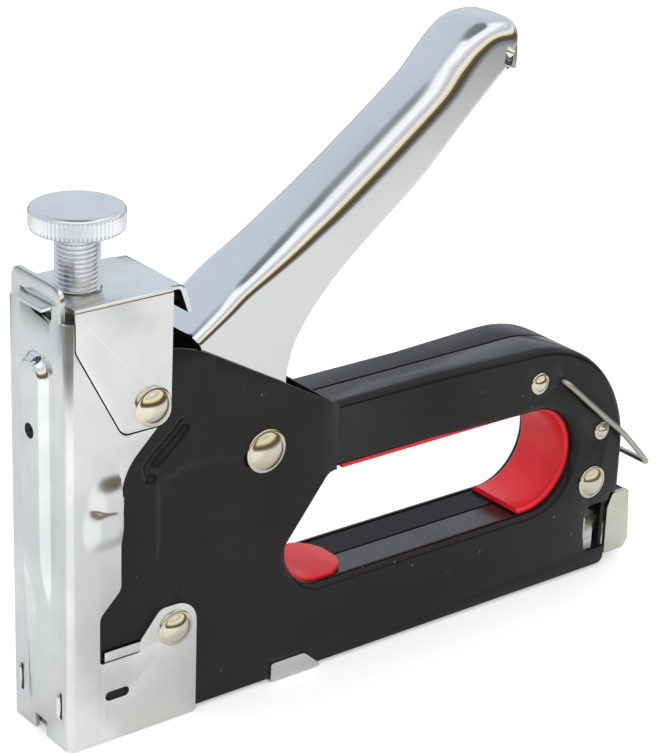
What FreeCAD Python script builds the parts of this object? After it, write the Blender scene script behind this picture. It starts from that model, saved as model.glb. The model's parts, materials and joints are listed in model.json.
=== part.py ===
"""Hand staple tacker: a pressed steel body in two halves, a bright nose casing with a
cap, a squeeze lever that lifts the driver against its spring, an adjusting screw on
top, a finger window with soft red liners, and a magazine with a pull-out feed rail.

Frame: +X from the nose to the rear, +Z up along the driver, y = 0 the middle plane.
Places along X are measured from the front wall's outer face. The origin lies one named
setback behind it, on the magazine's underside, which is level with the nose (z = 0).
"""
import FreeCAD, Part
import math
import os
from types import SimpleNamespace
import Sketcher

# Driving sizes, millimetres and degrees
SIZES = {
    "origin_setback": 10.0,
    # Nose casing
    "casing_wall": 1.0,
    "casing_side_top": 97.5,
    "front_wall_top": 104.7,
    "tongue_inset": 2.0,
    "front_corner_round": 3.0,
    "bend_round": 1.7,
    "casing_seam_end": 21.8,
    "waist_rear": 13.0,
    "waist_top": 62.0,
    "waist_bottom": 35.6,
    "waist_round": 13.0,
    "hook_round": 3.0,
    "notch_front": 7.7,
    "notch_rear": 18.0,
    "notch_bottom": 19.1,
    "notch_top": 30.3,
    "lug_rear": 32.4,
    "lug_top": 28.0,
    "lug_front": 23.0,
    "lug_step": 22.0,
    "lug_round": 5.4,
    "sheet_round": 0.8,
    "rib_half_width": 5.0,
    "rib_flat_half": 3.3,
    "rib_height": 2.0,
    "rib_top": 88.5,
    "rib_bottom": 27.0,
    "rib_fade": 18.0,
    "rib_head": 3.5,
    "sight_hole_height": 71.5,
    "sight_hole_radius": 1.65,
    "head_hole_drop": 2.1,
    "head_hole_radius": 0.7,
    "tab_play": 0.3,
    "tab_slot_sag": 1.2,
    "tab_slot_half": 6.2,
    "louvre_offset": 7.8,
    "louvre_bottom": 6.9,
    "louvre_height": 6.2,
    "louvre_width": 1.5,
    "nose_notch_half": 2.3,
    "nose_notch_height": 3.6,
    "side_slot_x": 12.0,
    "side_slot_z": 10.9,
    "side_slot_length": 3.8,
    "side_slot_radius": 1.1,
    "boss_front": 3.9,
    "boss_rear": 12.6,
    "boss_bottom": 46.1,
    "boss_height": 11.3,
    "boss_top_height": 6.1,
    "boss_top_setback": 1.2,
    "boss_rise": 1.4,
    "boss_round": 1.0,
    # Cap
    "cap_top": 100.6,
    "cap_front": 2.2,
    "cap_seam_corner": 91.5,
    "cap_bottom": 71.0,
    "cap_slope_foot": 13.3,
    "cap_rear": 25.6,
    "cap_rear_low": 25.2,
    "cap_corner_round": 3.4,
    "seam_gap": 0.3,
    "cap_tab_half": 5.9,
    "cap_tab_reach": 0.9,
    "lip_inset": 1.2,
    "lip_bend": 29.0,
    "lip_end": 31.0,
    "lip_drop": 6.6,
    # Body halves
    "half_outer": 10.5,
    "half_wall": 1.0,
    "half_gap": 0.7,
    "body_bottom": 0.8,
    "body_front": 1.4,
    "inner_top": 89.0,
    "shoulder_x": 25.6,
    "shoulder_drop": 1.9,
    "cheek_top_front": 33.0,
    "cheek_top_z": 85.1,
    "cheek_rear": 71.2,
    "cheek_rear_z": 63.5,
    "cheek_soft_start": 66.0,
    "cheek_soft_depth": 0.9,
    "grip_bottom": 47.4,
    "grip_inset": 1.6,
    "grip_ramp_start": 101.0,
    "grip_ramp_length": 25.0,
    "loop_x": 130.5,
    "body_rear": 160.6,
    "loop_round": 32.0,
    "catch_recess_x": 156.6,
    "catch_recess_top": 19.6,
    "rail_top": 20.8,
    "window_front": 57.4,
    "window_corner_round": 10.4,
    "window_front_rise": 11.6,
    "window_kink_round": 3.0,
    "window_head_round": 2.5,
    "window_head_front": 69.2,
    "rim_round": 1.9,
    "rim_bead": 0.45,
    "rim_bead_width": 2.0,
    "finger_front": 149.0,
    "finger_bottom": 5.2,
    "finger_height": 12.6,
    "finger_round": 2.5,
    # Rivets and pins
    "rivet_rim": 0.6,
    "rivet_step": 0.7,
    "upper_rivet_x": 20.6,
    "upper_rivet_z": 75.8,
    "upper_rivet_head": 4.4,
    "upper_rivet_shank": 2.2,
    "lower_rivet_x": 26.8,
    "lower_rivet_z": 22.4,
    "lower_rivet_head": 4.2,
    "lower_rivet_shank": 2.2,
    "pivot_x": 50.6,
    "pivot_z": 57.8,
    "pivot_head": 5.1,
    "pivot_shank": 2.6,
    "rear_rivet_x": 150.3,
    "rear_rivet_z": 24.4,
    "rear_rivet_head": 4.2,
    "rear_rivet_shank": 2.1,
    "grip_rivet_x": 130.5,
    "grip_rivet_z": 55.1,
    "grip_rivet_head": 2.7,
    "grip_rivet_shank": 1.4,
    "stop_pin_x": 152.3,
    "stop_pin_z": 37.7,
    "stop_pin_head": 2.3,
    "stop_pin_shank": 1.2,
    "dome_height": 1.6,
    "small_dome_height": 0.9,
    "fit": 0.05,
    "spacer_wall": 1.6,
    # Soft liners
    "liner_proud": 1.0,
    "liner_inset": 0.7,
    "liner_round": 1.1,
    "liner_foot": 128.4,
    "strip_proud": 0.6,
    "strip_inset": 0.9,
    "strip_front": 74.0,
    "corner_proud": 1.0,
    "corner_foot": 77.6,
    "corner_taper": 4.0,
    "corner_top": 31.6,
    # Lever
    "lever_gap": 0.5,
    "lever_wall": 1.2,
    "lever_round": 4.0,
    "lever_front": 32.6,
    "lever_front_z": 88.0,
    "lever_mid_x": 76.4,
    "lever_mid_z": 116.4,
    "lever_neck_x": 96.1,
    "lever_neck_z": 131.0,
    "lever_tip_x": 109.3,
    "lever_tip_z": 144.3,
    "lever_nose_x": 121.3,
    "lever_nose_z": 143.8,
    "lever_end_x": 125.0,
    "lever_end_z": 133.2,
    "lever_heel_x": 114.8,
    "lever_under_x": 91.3,
    "lever_under_z": 112.2,
    "lever_waist_x": 71.3,
    "lever_waist_z": 97.2,
    "lever_throat_x": 58.4,
    "lever_throat_z": 79.0,
    "lever_back_x": 56.2,
    "lever_back_z": 70.0,
    "lever_boss": 7.0,
    "lever_mid_round": 120.0,
    "tip_top_round": 13.0,
    "tip_end_round": 6.5,
    "tip_plan_round": 8.2,
    "throat_round": 14.0,
    "arm_forward": 19.73,
    "arm_drop": 7.18,
    "arm_boss": 4.8,
    "lift_pin_radius": 2.0,
    "roller_radius": 3.5,
    "roller_half": 2.6,
    "bush_radius": 4.2,
    # Driver
    "screw_x": 9.9,
    "blade_gap": 0.3,
    "blade_thickness": 1.3,
    "blade_half": 5.9,
    "blade_bottom": 1.0,
    "blade_top": 60.0,
    "hook_half": 3.0,
    "hook_height": 3.6,
    "carrier_bottom": 48.9,
    "carrier_height": 6.1,
    "carrier_gap": 1.3,
    "carrier_rear": 17.4,
    "carrier_round": 1.5,
    "spigot_radius": 5.0,
    "spigot_height": 3.0,
    "lug_half_width": 2.4,
    "lug_length": 18.0,
    "lug_wall": 2.0,
    "slot_play": 0.35,
    "spring_radius": 6.2,
    "spring_wire": 1.9,
    "seat_bottom": 91.0,
    "seat_thickness": 2.2,
    "seat_radius": 7.2,
    "seat_spigot": 1.6,
    "nut_height": 6.0,
    "nut_radius": 7.6,
    "screw_radius": 4.82,
    "screw_play": 0.15,
    "screw_chamfer": 0.6,
    "knob_bottom": 112.9,
    "knob_height": 5.0,
    "knob_radius": 10.0,
    "knob_round": 0.9,
    "knob_skin": 1.5,
    "flute_radius": 0.32,
    "buffer_top": 48.6,
    "buffer_height": 7.6,
    "buffer_front": 3.6,
    "buffer_rear": 16.2,
    "buffer_round": 1.0,
    "buffer_pin_radius": 1.8,
    "guide_front": 2.9,
    "guide_thickness": 1.2,
    "guide_bottom": 14.0,
    "guide_top": 40.0,
    "inner_play": 0.1,
    # Lock wire
    "wire_radius": 0.72,
    "wire_gap": 0.98,
    "wire_hinge_x": 138.2,
    "wire_hinge_z": 54.0,
    "wire_reach": 41.3,
    "wire_slope": 43.3,
    "wire_bend": 1.7,
    "wire_hook_depth": 2.1,
    # Magazine
    "channel_front": 3.2,
    "channel_rear": 152.0,
    "channel_gap": 1.5,
    "channel_top": 13.2,
    "channel_wall": 0.9,
    "tab_front": 53.3,
    "tab_length": 13.7,
    "tab_top": 4.7,
    "tab_slope": 4.4,
    "tab_sheet": 0.7,
    "rail_front": 3.5,
    "rail_setback": 1.2,
    "rail_gap": 1.9,
    "rail_low": 1.2,
    "rail_high": 11.6,
    "rail_wall": 0.9,
    "rail_slot_half": 1.3,
    "rail_slot_front": 8.0,
    "rail_slot_rear": 148.0,
    "rod_height": 6.2,
    "rod_radius": 1.2,
    "rod_setback": 2.4,
    "feeder_radius": 2.7,
    "feeder_wire": 0.8,
    "pusher_front": 5.0,
    "pusher_length": 14.0,
    "pusher_gap": 0.5,
    "pusher_wall": 1.0,
    "pusher_low": 3.0,
    "pusher_web_half": 0.9,
    "follower_gap": 0.5,
    "follower_low": 2.2,
    "follower_high": 9.8,
    "run_play": 0.3,
    "block_gap": 0.8,
    "block_low": 1.6,
    "block_high": 10.6,
    "end_pin_setback": 4.8,
    "end_pin_radius": 0.9,
    "catch_gap": 0.6,
    "catch_depth": 8.0,
    "catch_low": 2.7,
    "catch_top": 18.9,
    "catch_sheet": 1.0,
    "catch_inset": 0.3,
    "catch_heel": 3.6,
    "catch_nose": 1.5,
    "catch_rivet_depth": 2.2,
    "catch_rivet_radius": 1.2,
    "catch_rivet_head": 2.3,
    "overrun": 2.0,
}

NUT_SIDES = 6
FLUTES = 64
SPRING_TURNS = 6.5
FEEDER_TURNS = 36
STEPS_PER_TURN = 4
GAP_SAMPLES_PER_TURN = 24
LEAST_COIL_GAP = 0.4
FULL_TURN = 360.0
QUARTER_TURN = 90.0
SAME_PLACE = 1e-3

# Shares of the named sizes that they are multiplied with
HALF_SHARE = 0.5
SEAM_MITRE_SHARES = (0.25, 0.6)
LEVER_INSET_SHARES = ((0.56, -0.84), (0.62, -0.83), (0.45, -1.0), (-0.8, -0.95))
LEVER_LEAN_SHARES = (0.839, 0.544)
WINDOW_GROW_SHARES = ((-1.0, -1.0), (-1.0, 0.35), (-0.49, 1.0))
DOME_ROUND_SHARE = 0.96
ROUND_SHARE = 0.99


class Size:
    """A length with its number and the sheet expression that gives it."""

    def __init__(self, value, text):
        self.value = float(value)
        self.text = text

    @staticmethod
    def of(other):
        """Returns other as a Size; a plain number is a count, a share or zero."""
        if isinstance(other, Size):
            return other
        return Size(other, repr(float(other)))

    def __add__(self, other):
        other = Size.of(other)
        return Size(self.value + other.value, "(%s + %s)" % (self.text, other.text))

    def __sub__(self, other):
        other = Size.of(other)
        return Size(self.value - other.value, "(%s - %s)" % (self.text, other.text))

    def __mul__(self, other):
        other = Size.of(other)
        return Size(self.value * other.value, "(%s * %s)" % (self.text, other.text))

    def __truediv__(self, other):
        other = Size.of(other)
        return Size(self.value / other.value, "(%s / %s)" % (self.text, other.text))

    def __neg__(self):
        return Size(-self.value, "(0 - %s)" % self.text)

    __radd__ = __add__
    __rmul__ = __mul__


os.makedirs("parts", exist_ok=True)
doc = FreeCAD.newDocument("StapleTacker")
sheet = doc.addObject("Spreadsheet::Sheet", "Sizes")
sheet.Label = "Sizes"
for row, (alias, number) in enumerate(SIZES.items(), start=1):
    sheet.set("A%d" % row, alias)
    sheet.set("B%d" % row, str(number))
    sheet.setAlias("B%d" % row, alias)
doc.recompute()

s = SimpleNamespace(**{name: Size(number, "Sizes." + name) for name, number in SIZES.items()})
ZERO = Size(0, "0")
nodes = []

# Places that follow from the sizes above
s.head_hole_height = s.rib_top - s.head_hole_drop
s.inner_half = s.half_outer - s.half_wall
s.casing_half = s.half_outer + s.casing_wall
s.lip_half_width = s.casing_half - s.lip_inset
s.tongue_half = s.casing_half - s.tongue_inset
s.grip_half = s.half_outer - s.grip_inset
s.liner_half = s.grip_half - s.liner_inset
s.strip_half = s.grip_half - s.strip_inset
s.lever_half = s.inner_half - s.lever_gap
s.carrier_half = s.inner_half - s.carrier_gap
s.wire_plane = s.half_outer + s.wire_gap + s.wire_radius
s.wire_hook_end = s.half_outer - s.wire_hook_depth
s.channel_half = s.inner_half - s.channel_gap
s.rail_half = s.channel_half - s.channel_wall - s.rail_gap
s.pusher_half = s.channel_half - s.channel_wall - s.pusher_gap
s.follower_half = s.rail_half - s.rail_wall - s.follower_gap
s.catch_half = s.half_outer - s.catch_inset
s.catch_front = s.catch_recess_x + s.catch_gap
s.catch_rear = s.catch_front + s.catch_depth
s.block_front = s.channel_rear + s.block_gap
s.block_rear = s.catch_rear - s.catch_sheet
s.rail_rear = s.block_rear - s.rail_setback
s.end_pin_x = s.catch_rear - s.end_pin_setback
s.rod_end = s.end_pin_x - s.rod_setback


def keep(thing):
    """Lists a finished sub-part, so that it is checked and written at the end."""
    nodes.append(thing)
    return thing


def bind(thing, prop, size):
    """Sets a property of a document object from the sheet."""
    thing.setExpression(prop, Size.of(size).text)


def place(thing, x=ZERO, y=ZERO, z=ZERO):
    """Moves a sub-part to its place, measured from the front wall's outer face."""
    bind(thing, "Placement.Base.x", x - s.origin_setback)
    bind(thing, "Placement.Base.y", y)
    bind(thing, "Placement.Base.z", z)
    return thing


def new_body(label):
    """Starts a PartDesign body."""
    body = doc.addObject("PartDesign::Body", label)
    body.Label = label
    return place(body)


def origin_plane(body, role):
    """Finds one of the body's own origin planes."""
    return [item for item in body.Origin.OriginFeatures if item.Role == role][0]


def on_plane(sketch, body, role, offset):
    """Attaches a sketch to an origin plane, moved along that plane's normal."""
    sketch.AttachmentSupport = [(origin_plane(body, role), "")]
    sketch.MapMode = "FlatFace"
    bind(sketch, "AttachmentOffset.Base.z", offset)


def round_corner(before, here, after, radius):
    """Works out the arc that rounds a corner: where it starts, its middle and its end."""
    back = (before - here).normalize()
    ahead = (after - here).normalize()
    half_angle = math.acos(max(-1.0, min(1.0, back.dot(ahead)))) * HALF_SHARE
    reach = radius / math.tan(half_angle)
    centre = here + (back + ahead).normalize() * (radius / math.sin(half_angle))
    middle = centre + (here - centre).normalize() * radius
    return here + back * reach, middle, here + ahead * reach


def draw_polygon(sketch, corners, closed=True):
    """Adds an outline of straight runs; a corner is (u, v) or, where rounded, (u, v, radius)."""
    places = [(Size.of(corner[0]), Size.of(corner[1])) for corner in corners]
    radii = [Size.of(corner[2]) if len(corner) > 2 else None for corner in corners]
    spots = [FreeCAD.Vector(u.value, v.value, 0) for u, v in places]
    count = len(spots)
    arcs = {}
    for index, radius in enumerate(radii):
        if radius is not None:
            ahead = spots[(index + 1) % count]
            arcs[index] = round_corner(spots[index - 1], spots[index], ahead, radius.value)
    lines = []
    for index in range(count if closed else count - 1):
        following = (index + 1) % count
        start = arcs[index][2] if index in arcs else spots[index]
        end = arcs[following][0] if following in arcs else spots[following]
        lines.append(sketch.addGeometry(Part.LineSegment(start, end), False))
    for index in range(count):
        if not closed and index in (0, count - 1):
            line, tip = (lines[0], 1) if index == 0 else (lines[-1], 2)
            dimension_point(sketch, line, tip, places[index])
            continue
        arriving, leaving = lines[index - 1], lines[index]
        if index in arcs:
            round_sketch_corner(
                sketch, arriving, leaving, arcs[index], spots[index], places[index], radii[index])
        else:
            sketch.addConstraint(Sketcher.Constraint("Coincident", arriving, 2, leaving, 1))
            dimension_point(sketch, leaving, 1, places[index])


def dimension_point(sketch, geometry, end, place_at):
    """Ties a sketch point's two coordinates to the sheet."""
    for kind, size in zip(("DistanceX", "DistanceY"), place_at):
        number = sketch.addConstraint(Sketcher.Constraint(kind, -1, 1, geometry, end, size.value))
        bind(sketch, "Constraints[%d]" % number, size)


def round_sketch_corner(sketch, arriving, leaving, arc, spot, place_at, radius):
    """Joins two lines by a tangent arc and keeps the corner where the lines would meet."""
    curve = Part.Arc(*arc)
    rounding = sketch.addGeometry(curve, False)
    corner = sketch.addGeometry(Part.Point(spot), True)
    dimension_point(sketch, corner, 1, place_at)
    to_start, to_end = [sketch.getPoint(rounding, tip).distanceToPoint(arc[0]) for tip in (1, 2)]
    first, last = (2, 1) if to_start > to_end else (1, 2)
    sketch.addConstraint([
        Sketcher.Constraint("Tangent", arriving, 2, rounding, first),
        Sketcher.Constraint("Tangent", rounding, last, leaving, 1),
        Sketcher.Constraint("PointOnObject", corner, 1, arriving),
        Sketcher.Constraint("PointOnObject", corner, 1, leaving)])
    number = sketch.addConstraint(Sketcher.Constraint("Radius", rounding, radius.value))
    bind(sketch, "Constraints[%d]" % number, radius)


def draw_circle(sketch, centre, radius):
    """Adds a dimensioned circle."""
    u, v = Size.of(centre[0]), Size.of(centre[1])
    middle = FreeCAD.Vector(u.value, v.value, 0)
    this = sketch.addGeometry(Part.Circle(middle, FreeCAD.Vector(0, 0, 1), radius.value), False)
    size = sketch.addConstraint(Sketcher.Constraint("Radius", this, radius.value))
    bind(sketch, "Constraints[%d]" % size, radius)
    across = sketch.addConstraint(Sketcher.Constraint("DistanceX", -1, 1, this, 3, u.value))
    bind(sketch, "Constraints[%d]" % across, u)
    up = sketch.addConstraint(Sketcher.Constraint("DistanceY", -1, 1, this, 3, v.value))
    bind(sketch, "Constraints[%d]" % up, v)


PLANES = {"XY": ("XY_Plane", 1), "XZ": ("XZ_Plane", -1), "YZ": ("YZ_Plane", 1)}


def extrude(body, kind, plane, start, end, polygons=(), circles=()):
    """Pads or pockets outlines between two places along the plane's axis."""
    role, normal = PLANES[plane]
    sketch = body.newObject("Sketcher::SketchObject", body.Label + "_outline")
    on_plane(sketch, body, role, start if normal > 0 else -start)
    for corners in polygons:
        draw_polygon(sketch, corners)
    for centre, radius in circles:
        draw_circle(sketch, centre, radius)
    before = body.Shape.Volume if body.Tip else 0
    feature = body.newObject("PartDesign::" + kind, body.Label + "_" + kind.lower())
    feature.Profile = sketch
    bind(feature, "Length", end - start)
    feature.Reversed = (normal < 0) if kind == "Pad" else (normal > 0)
    doc.recompute()
    grew = body.Shape.Volume - before
    if (kind == "Pad") != (grew > 0):
        raise RuntimeError("%s: a %s changed the volume by %.3f" % (body.Label, kind, grew))
    return feature


def pad(body, plane, start, end, polygons=(), circles=()):
    """Adds material."""
    return extrude(body, "Pad", plane, Size.of(start), Size.of(end), polygons, circles)


def pocket(body, plane, start, end, polygons=(), circles=()):
    """Takes material away."""
    return extrude(body, "Pocket", plane, Size.of(start), Size.of(end), polygons, circles)


def box(left, right, low, high):
    """Corners of an upright rectangle."""
    return [(left, low), (right, low), (right, high), (left, high)]


def soften(body, radius, wanted, kind="Fillet"):
    """Rounds or chamfers every edge of the body that the test picks."""
    previous = body.Tip
    edges = enumerate(previous.Shape.Edges, start=1)
    names = ["Edge%d" % number for number, edge in edges if wanted(edge)]
    if not names:
        raise RuntimeError("%s: no edge found to soften" % body.Label)
    feature = body.newObject("PartDesign::" + kind, body.Label + "_" + kind.lower())
    feature.Base = (previous, names)
    bind(feature, "Radius" if kind == "Fillet" else "Size", radius)
    doc.recompute()
    if "Invalid" in feature.State or not body.Shape.isValid():
        raise RuntimeError("%s: softening of %d edges failed" % (body.Label, len(names)))
    return feature


def near(number, size):
    """Tells whether a coordinate is at a named place."""
    return abs(number - Size.of(size).value) < SAME_PLACE


def lies_in(axis, size):
    """A test for edges that lie wholly in one plane across an axis."""
    def test(edge):
        bounds = edge.BoundBox
        low = getattr(bounds, axis + "Min")
        high = getattr(bounds, axis + "Max")
        return near(low, size) and near(high, size)
    return test


def both(*tests):
    """A test that needs all of the given tests."""
    return lambda edge: all(test(edge) for test in tests)


def either(*tests):
    """A test that needs one of the given tests."""
    return lambda edge: any(test(edge) for test in tests)


TURNING = {
    "X": ("XY_Plane", "H_Axis", True),
    "Y": ("XY_Plane", "V_Axis", False),
    "Z": ("XZ_Plane", "V_Axis", False)}


def turned(label, profile, axis="Y"):
    """A body turned from a half outline of (radius, place along the axis) corners."""
    role, reference, flipped = TURNING[axis]
    body = new_body(label)
    sketch = body.newObject("Sketcher::SketchObject", label + "_outline")
    on_plane(sketch, body, role, ZERO)
    if flipped:
        profile = [(corner[1], corner[0]) + tuple(corner[2:]) for corner in profile]
    draw_polygon(sketch, profile)
    turn = body.newObject("PartDesign::Revolution", label + "_turn")
    turn.Profile = sketch
    turn.ReferenceAxis = (sketch, [reference])
    turn.Angle = FULL_TURN
    doc.recompute()
    return keep(body)


def front_casing():
    """The bright nose casing: front wall, two side plates with a rear lug, rib and boss."""
    body = new_body("front_casing")
    half = s.casing_half
    seam_x = s.cap_front - s.seam_gap
    seam_top = s.cap_seam_corner - s.seam_gap * SEAM_MITRE_SHARES[0]
    seam_low = s.cap_bottom - s.seam_gap
    seam_foot = s.cap_slope_foot - s.seam_gap * SEAM_MITRE_SHARES[1]
    side = [
        (0, 0),
        (s.lug_rear, 0, s.sheet_round),
        (s.lug_rear, s.lug_top, s.lug_round),
        (s.lug_front, s.lug_top, s.hook_round),
        (s.notch_rear, s.lug_step, s.sheet_round),
        (s.notch_rear, s.notch_bottom, s.sheet_round),
        (s.notch_front, s.notch_bottom, s.sheet_round),
        (s.notch_front, s.notch_top, s.hook_round),
        (s.waist_rear, s.waist_bottom, s.hook_round),
        (s.waist_rear, s.waist_top, s.waist_round),
        (s.casing_seam_end, seam_low),
        (seam_foot, seam_low, s.hook_round),
        (seam_x, seam_top, s.hook_round),
        (seam_x, s.casing_side_top),
        (0, s.casing_side_top)]
    pad(body, "XZ", -half, half, [side])
    inner = half - s.casing_wall
    pocket(body, "XZ", -inner, inner,
           [box(s.casing_wall, s.lug_rear + s.overrun, ZERO - s.overrun, s.front_wall_top)])
    soften(body, s.bend_round, either(*[both(lies_in("X", 0), lies_in("Y", y)) for y in (-half, half)]))
    tongue = s.tongue_half
    low = s.casing_side_top - s.overrun * 3
    pad(body, "YZ", 0, s.casing_wall, [[
        (-tongue, low), (tongue, low),
        (tongue, s.front_wall_top, s.front_corner_round),
        (-tongue, s.front_wall_top, s.front_corner_round)]])
    rib = [(0, -s.rib_half_width), (-s.rib_height, -s.rib_flat_half),
           (-s.rib_height, s.rib_flat_half), (0, s.rib_half_width)]
    pad(body, "XY", s.rib_bottom, s.rib_top, [rib])
    sheet_in = s.casing_wall
    hollow = [
        (sheet_in, -s.rib_half_width + sheet_in), (sheet_in - s.rib_height, -s.rib_flat_half + sheet_in),
        (sheet_in - s.rib_height, s.rib_flat_half - sheet_in), (sheet_in, s.rib_half_width - sheet_in)]
    pocket(body, "XY", s.rib_bottom + s.rib_fade, s.rib_top - s.rib_head - sheet_in, [hollow])
    out = s.rib_half_width + s.overrun
    pocket(body, "XZ", -out, out, [[
        (ZERO - s.rib_height - s.overrun, s.rib_bottom), (0, s.rib_bottom),
        (-s.rib_height, s.rib_bottom + s.rib_fade),
        (ZERO - s.rib_height - s.overrun, s.rib_bottom + s.rib_fade)]])
    pocket(body, "XZ", -out, out, [[
        (-s.rib_height, s.rib_top - s.rib_head), (0, s.rib_top), (0, s.rib_top + s.overrun),
        (ZERO - s.rib_height - s.overrun, s.rib_top + s.overrun),
        (ZERO - s.rib_height - s.overrun, s.rib_top - s.rib_head)]])
    through = (ZERO - s.rib_height - s.overrun, s.casing_wall + s.overrun)
    pocket(body, "YZ", through[0], through[1], circles=[((0, s.sight_hole_height), s.sight_hole_radius)])
    pocket(body, "YZ", through[0], through[1], circles=[((0, s.head_hole_height), s.head_hole_radius)])
    slot_top = s.cap_top + s.tab_play
    slot_low = s.cap_top - s.casing_wall - s.tab_play
    pocket(body, "YZ", through[0], through[1], [[
        (-s.tab_slot_half, slot_top), (-s.tab_slot_half, slot_low),
        (-s.tab_slot_half * HALF_SHARE, slot_low - s.tab_slot_sag),
        (s.tab_slot_half * HALF_SHARE, slot_low - s.tab_slot_sag),
        (s.tab_slot_half, slot_low), (s.tab_slot_half, slot_top)]])
    for middle in (-s.louvre_offset, s.louvre_offset):
        reach = s.louvre_width * HALF_SHARE
        pocket(body, "YZ", through[0], through[1], [box(
            middle - reach, middle + reach, s.louvre_bottom, s.louvre_bottom + s.louvre_height)])
    pocket(body, "YZ", through[0], through[1], [box(
        -s.nose_notch_half, s.nose_notch_half, ZERO - s.overrun, s.nose_notch_height)])
    wide = half + s.overrun
    slot_reach = s.side_slot_length * HALF_SHARE
    pocket(body, "XZ", -wide, wide, [box(
        s.side_slot_x - slot_reach, s.side_slot_x + slot_reach,
        s.side_slot_z - s.side_slot_radius, s.side_slot_z + s.side_slot_radius)])
    for end in (s.side_slot_x - slot_reach, s.side_slot_x + slot_reach):
        pocket(body, "XZ", -wide, wide, circles=[((end, s.side_slot_z), s.side_slot_radius)])
    pocket(body, "XZ", -wide, wide,
           circles=[((s.lower_rivet_x, s.lower_rivet_z), s.lower_rivet_shank + s.fit)])
    crown = half + s.boss_rise
    lower_box = box(s.boss_front, s.boss_rear, s.boss_bottom, s.boss_bottom + s.boss_height)
    upper_box = box(s.boss_front + s.boss_top_setback, s.boss_rear, s.boss_bottom + s.boss_height,
                    s.boss_bottom + s.boss_height + s.boss_top_height)
    for low_y, high_y in ((-crown, -half), (half, crown)):
        pad(body, "XZ", low_y, high_y, [lower_box])
        pad(body, "XZ", low_y, high_y, [upper_box])
    soften(body, s.boss_round, either(lies_in("Y", crown), lies_in("Y", -crown)))
    return keep(body)


def top_cap():
    """The cap: a top plate with two side panels, a front tab and a hooked rear lip."""
    body = new_body("top_cap")
    half = s.casing_half
    inner = half - s.casing_wall
    under = s.cap_top - s.casing_wall
    panel = [
        (s.cap_front, s.cap_top),
        (s.cap_front, s.cap_seam_corner, s.hook_round),
        (s.cap_slope_foot, s.cap_bottom, s.hook_round),
        (s.cap_rear_low, s.cap_bottom, s.cap_corner_round),
        (s.cap_rear, s.cap_top)]
    pad(body, "XZ", -half, half, [panel])
    pocket(body, "XZ", -inner, inner,
           [box(ZERO, s.cap_rear + s.overrun, s.cap_bottom - s.overrun, under)])
    ridges = [both(lies_in("Z", s.cap_top), lies_in("Y", y)) for y in (-half, half)]
    soften(body, s.casing_wall, either(*ridges))
    lip = [
        (s.cap_rear - s.casing_wall, s.cap_top),
        (s.lip_bend, s.cap_top, s.casing_wall * 2),
        (s.lip_end, s.cap_top - s.lip_drop),
        (s.lip_end - s.casing_wall, s.cap_top - s.lip_drop),
        (s.lip_bend - s.casing_wall, under, s.casing_wall),
        (s.cap_rear - s.casing_wall, under)]
    pad(body, "XZ", -s.lip_half_width, s.lip_half_width, [lip])
    pad(body, "XY", under, s.cap_top, [box(
        -s.cap_tab_reach, s.cap_front + s.casing_wall, -s.cap_tab_half, s.cap_tab_half)])
    pocket(body, "XY", under - s.overrun, s.cap_top + s.overrun,
           circles=[((s.screw_x, 0), s.screw_radius + s.screw_play)])
    wide = half + s.overrun
    pocket(body, "XZ", -wide, wide,
           circles=[((s.upper_rivet_x, s.upper_rivet_z), s.upper_rivet_shank + s.fit)])
    return keep(body)


def window_corners(grow):
    """The finger window's outline, grown on all sides."""
    front_round = s.window_corner_round + grow
    shares = WINDOW_GROW_SHARES
    kink = s.rail_top + s.window_front_rise
    rear, rear_round = window_rear(grow)
    return [
        (s.window_front + grow * shares[0][0], s.rail_top + grow * shares[0][1], front_round),
        (rear, s.rail_top - grow, rear_round),
        (rear, s.grip_bottom + grow, rear_round),
        (s.window_head_front + grow * shares[2][0], s.grip_bottom + grow * shares[2][1], s.window_head_round),
        (s.window_front + grow * shares[1][0], kink + grow * shares[1][1], s.window_kink_round + grow)]


def window_rear(grow):
    """The rearmost place of the grown window and the radius of its round end."""
    reach = (s.grip_bottom - s.rail_top) * HALF_SHARE + grow
    return s.loop_x + reach, reach * ROUND_SHARE


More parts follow.
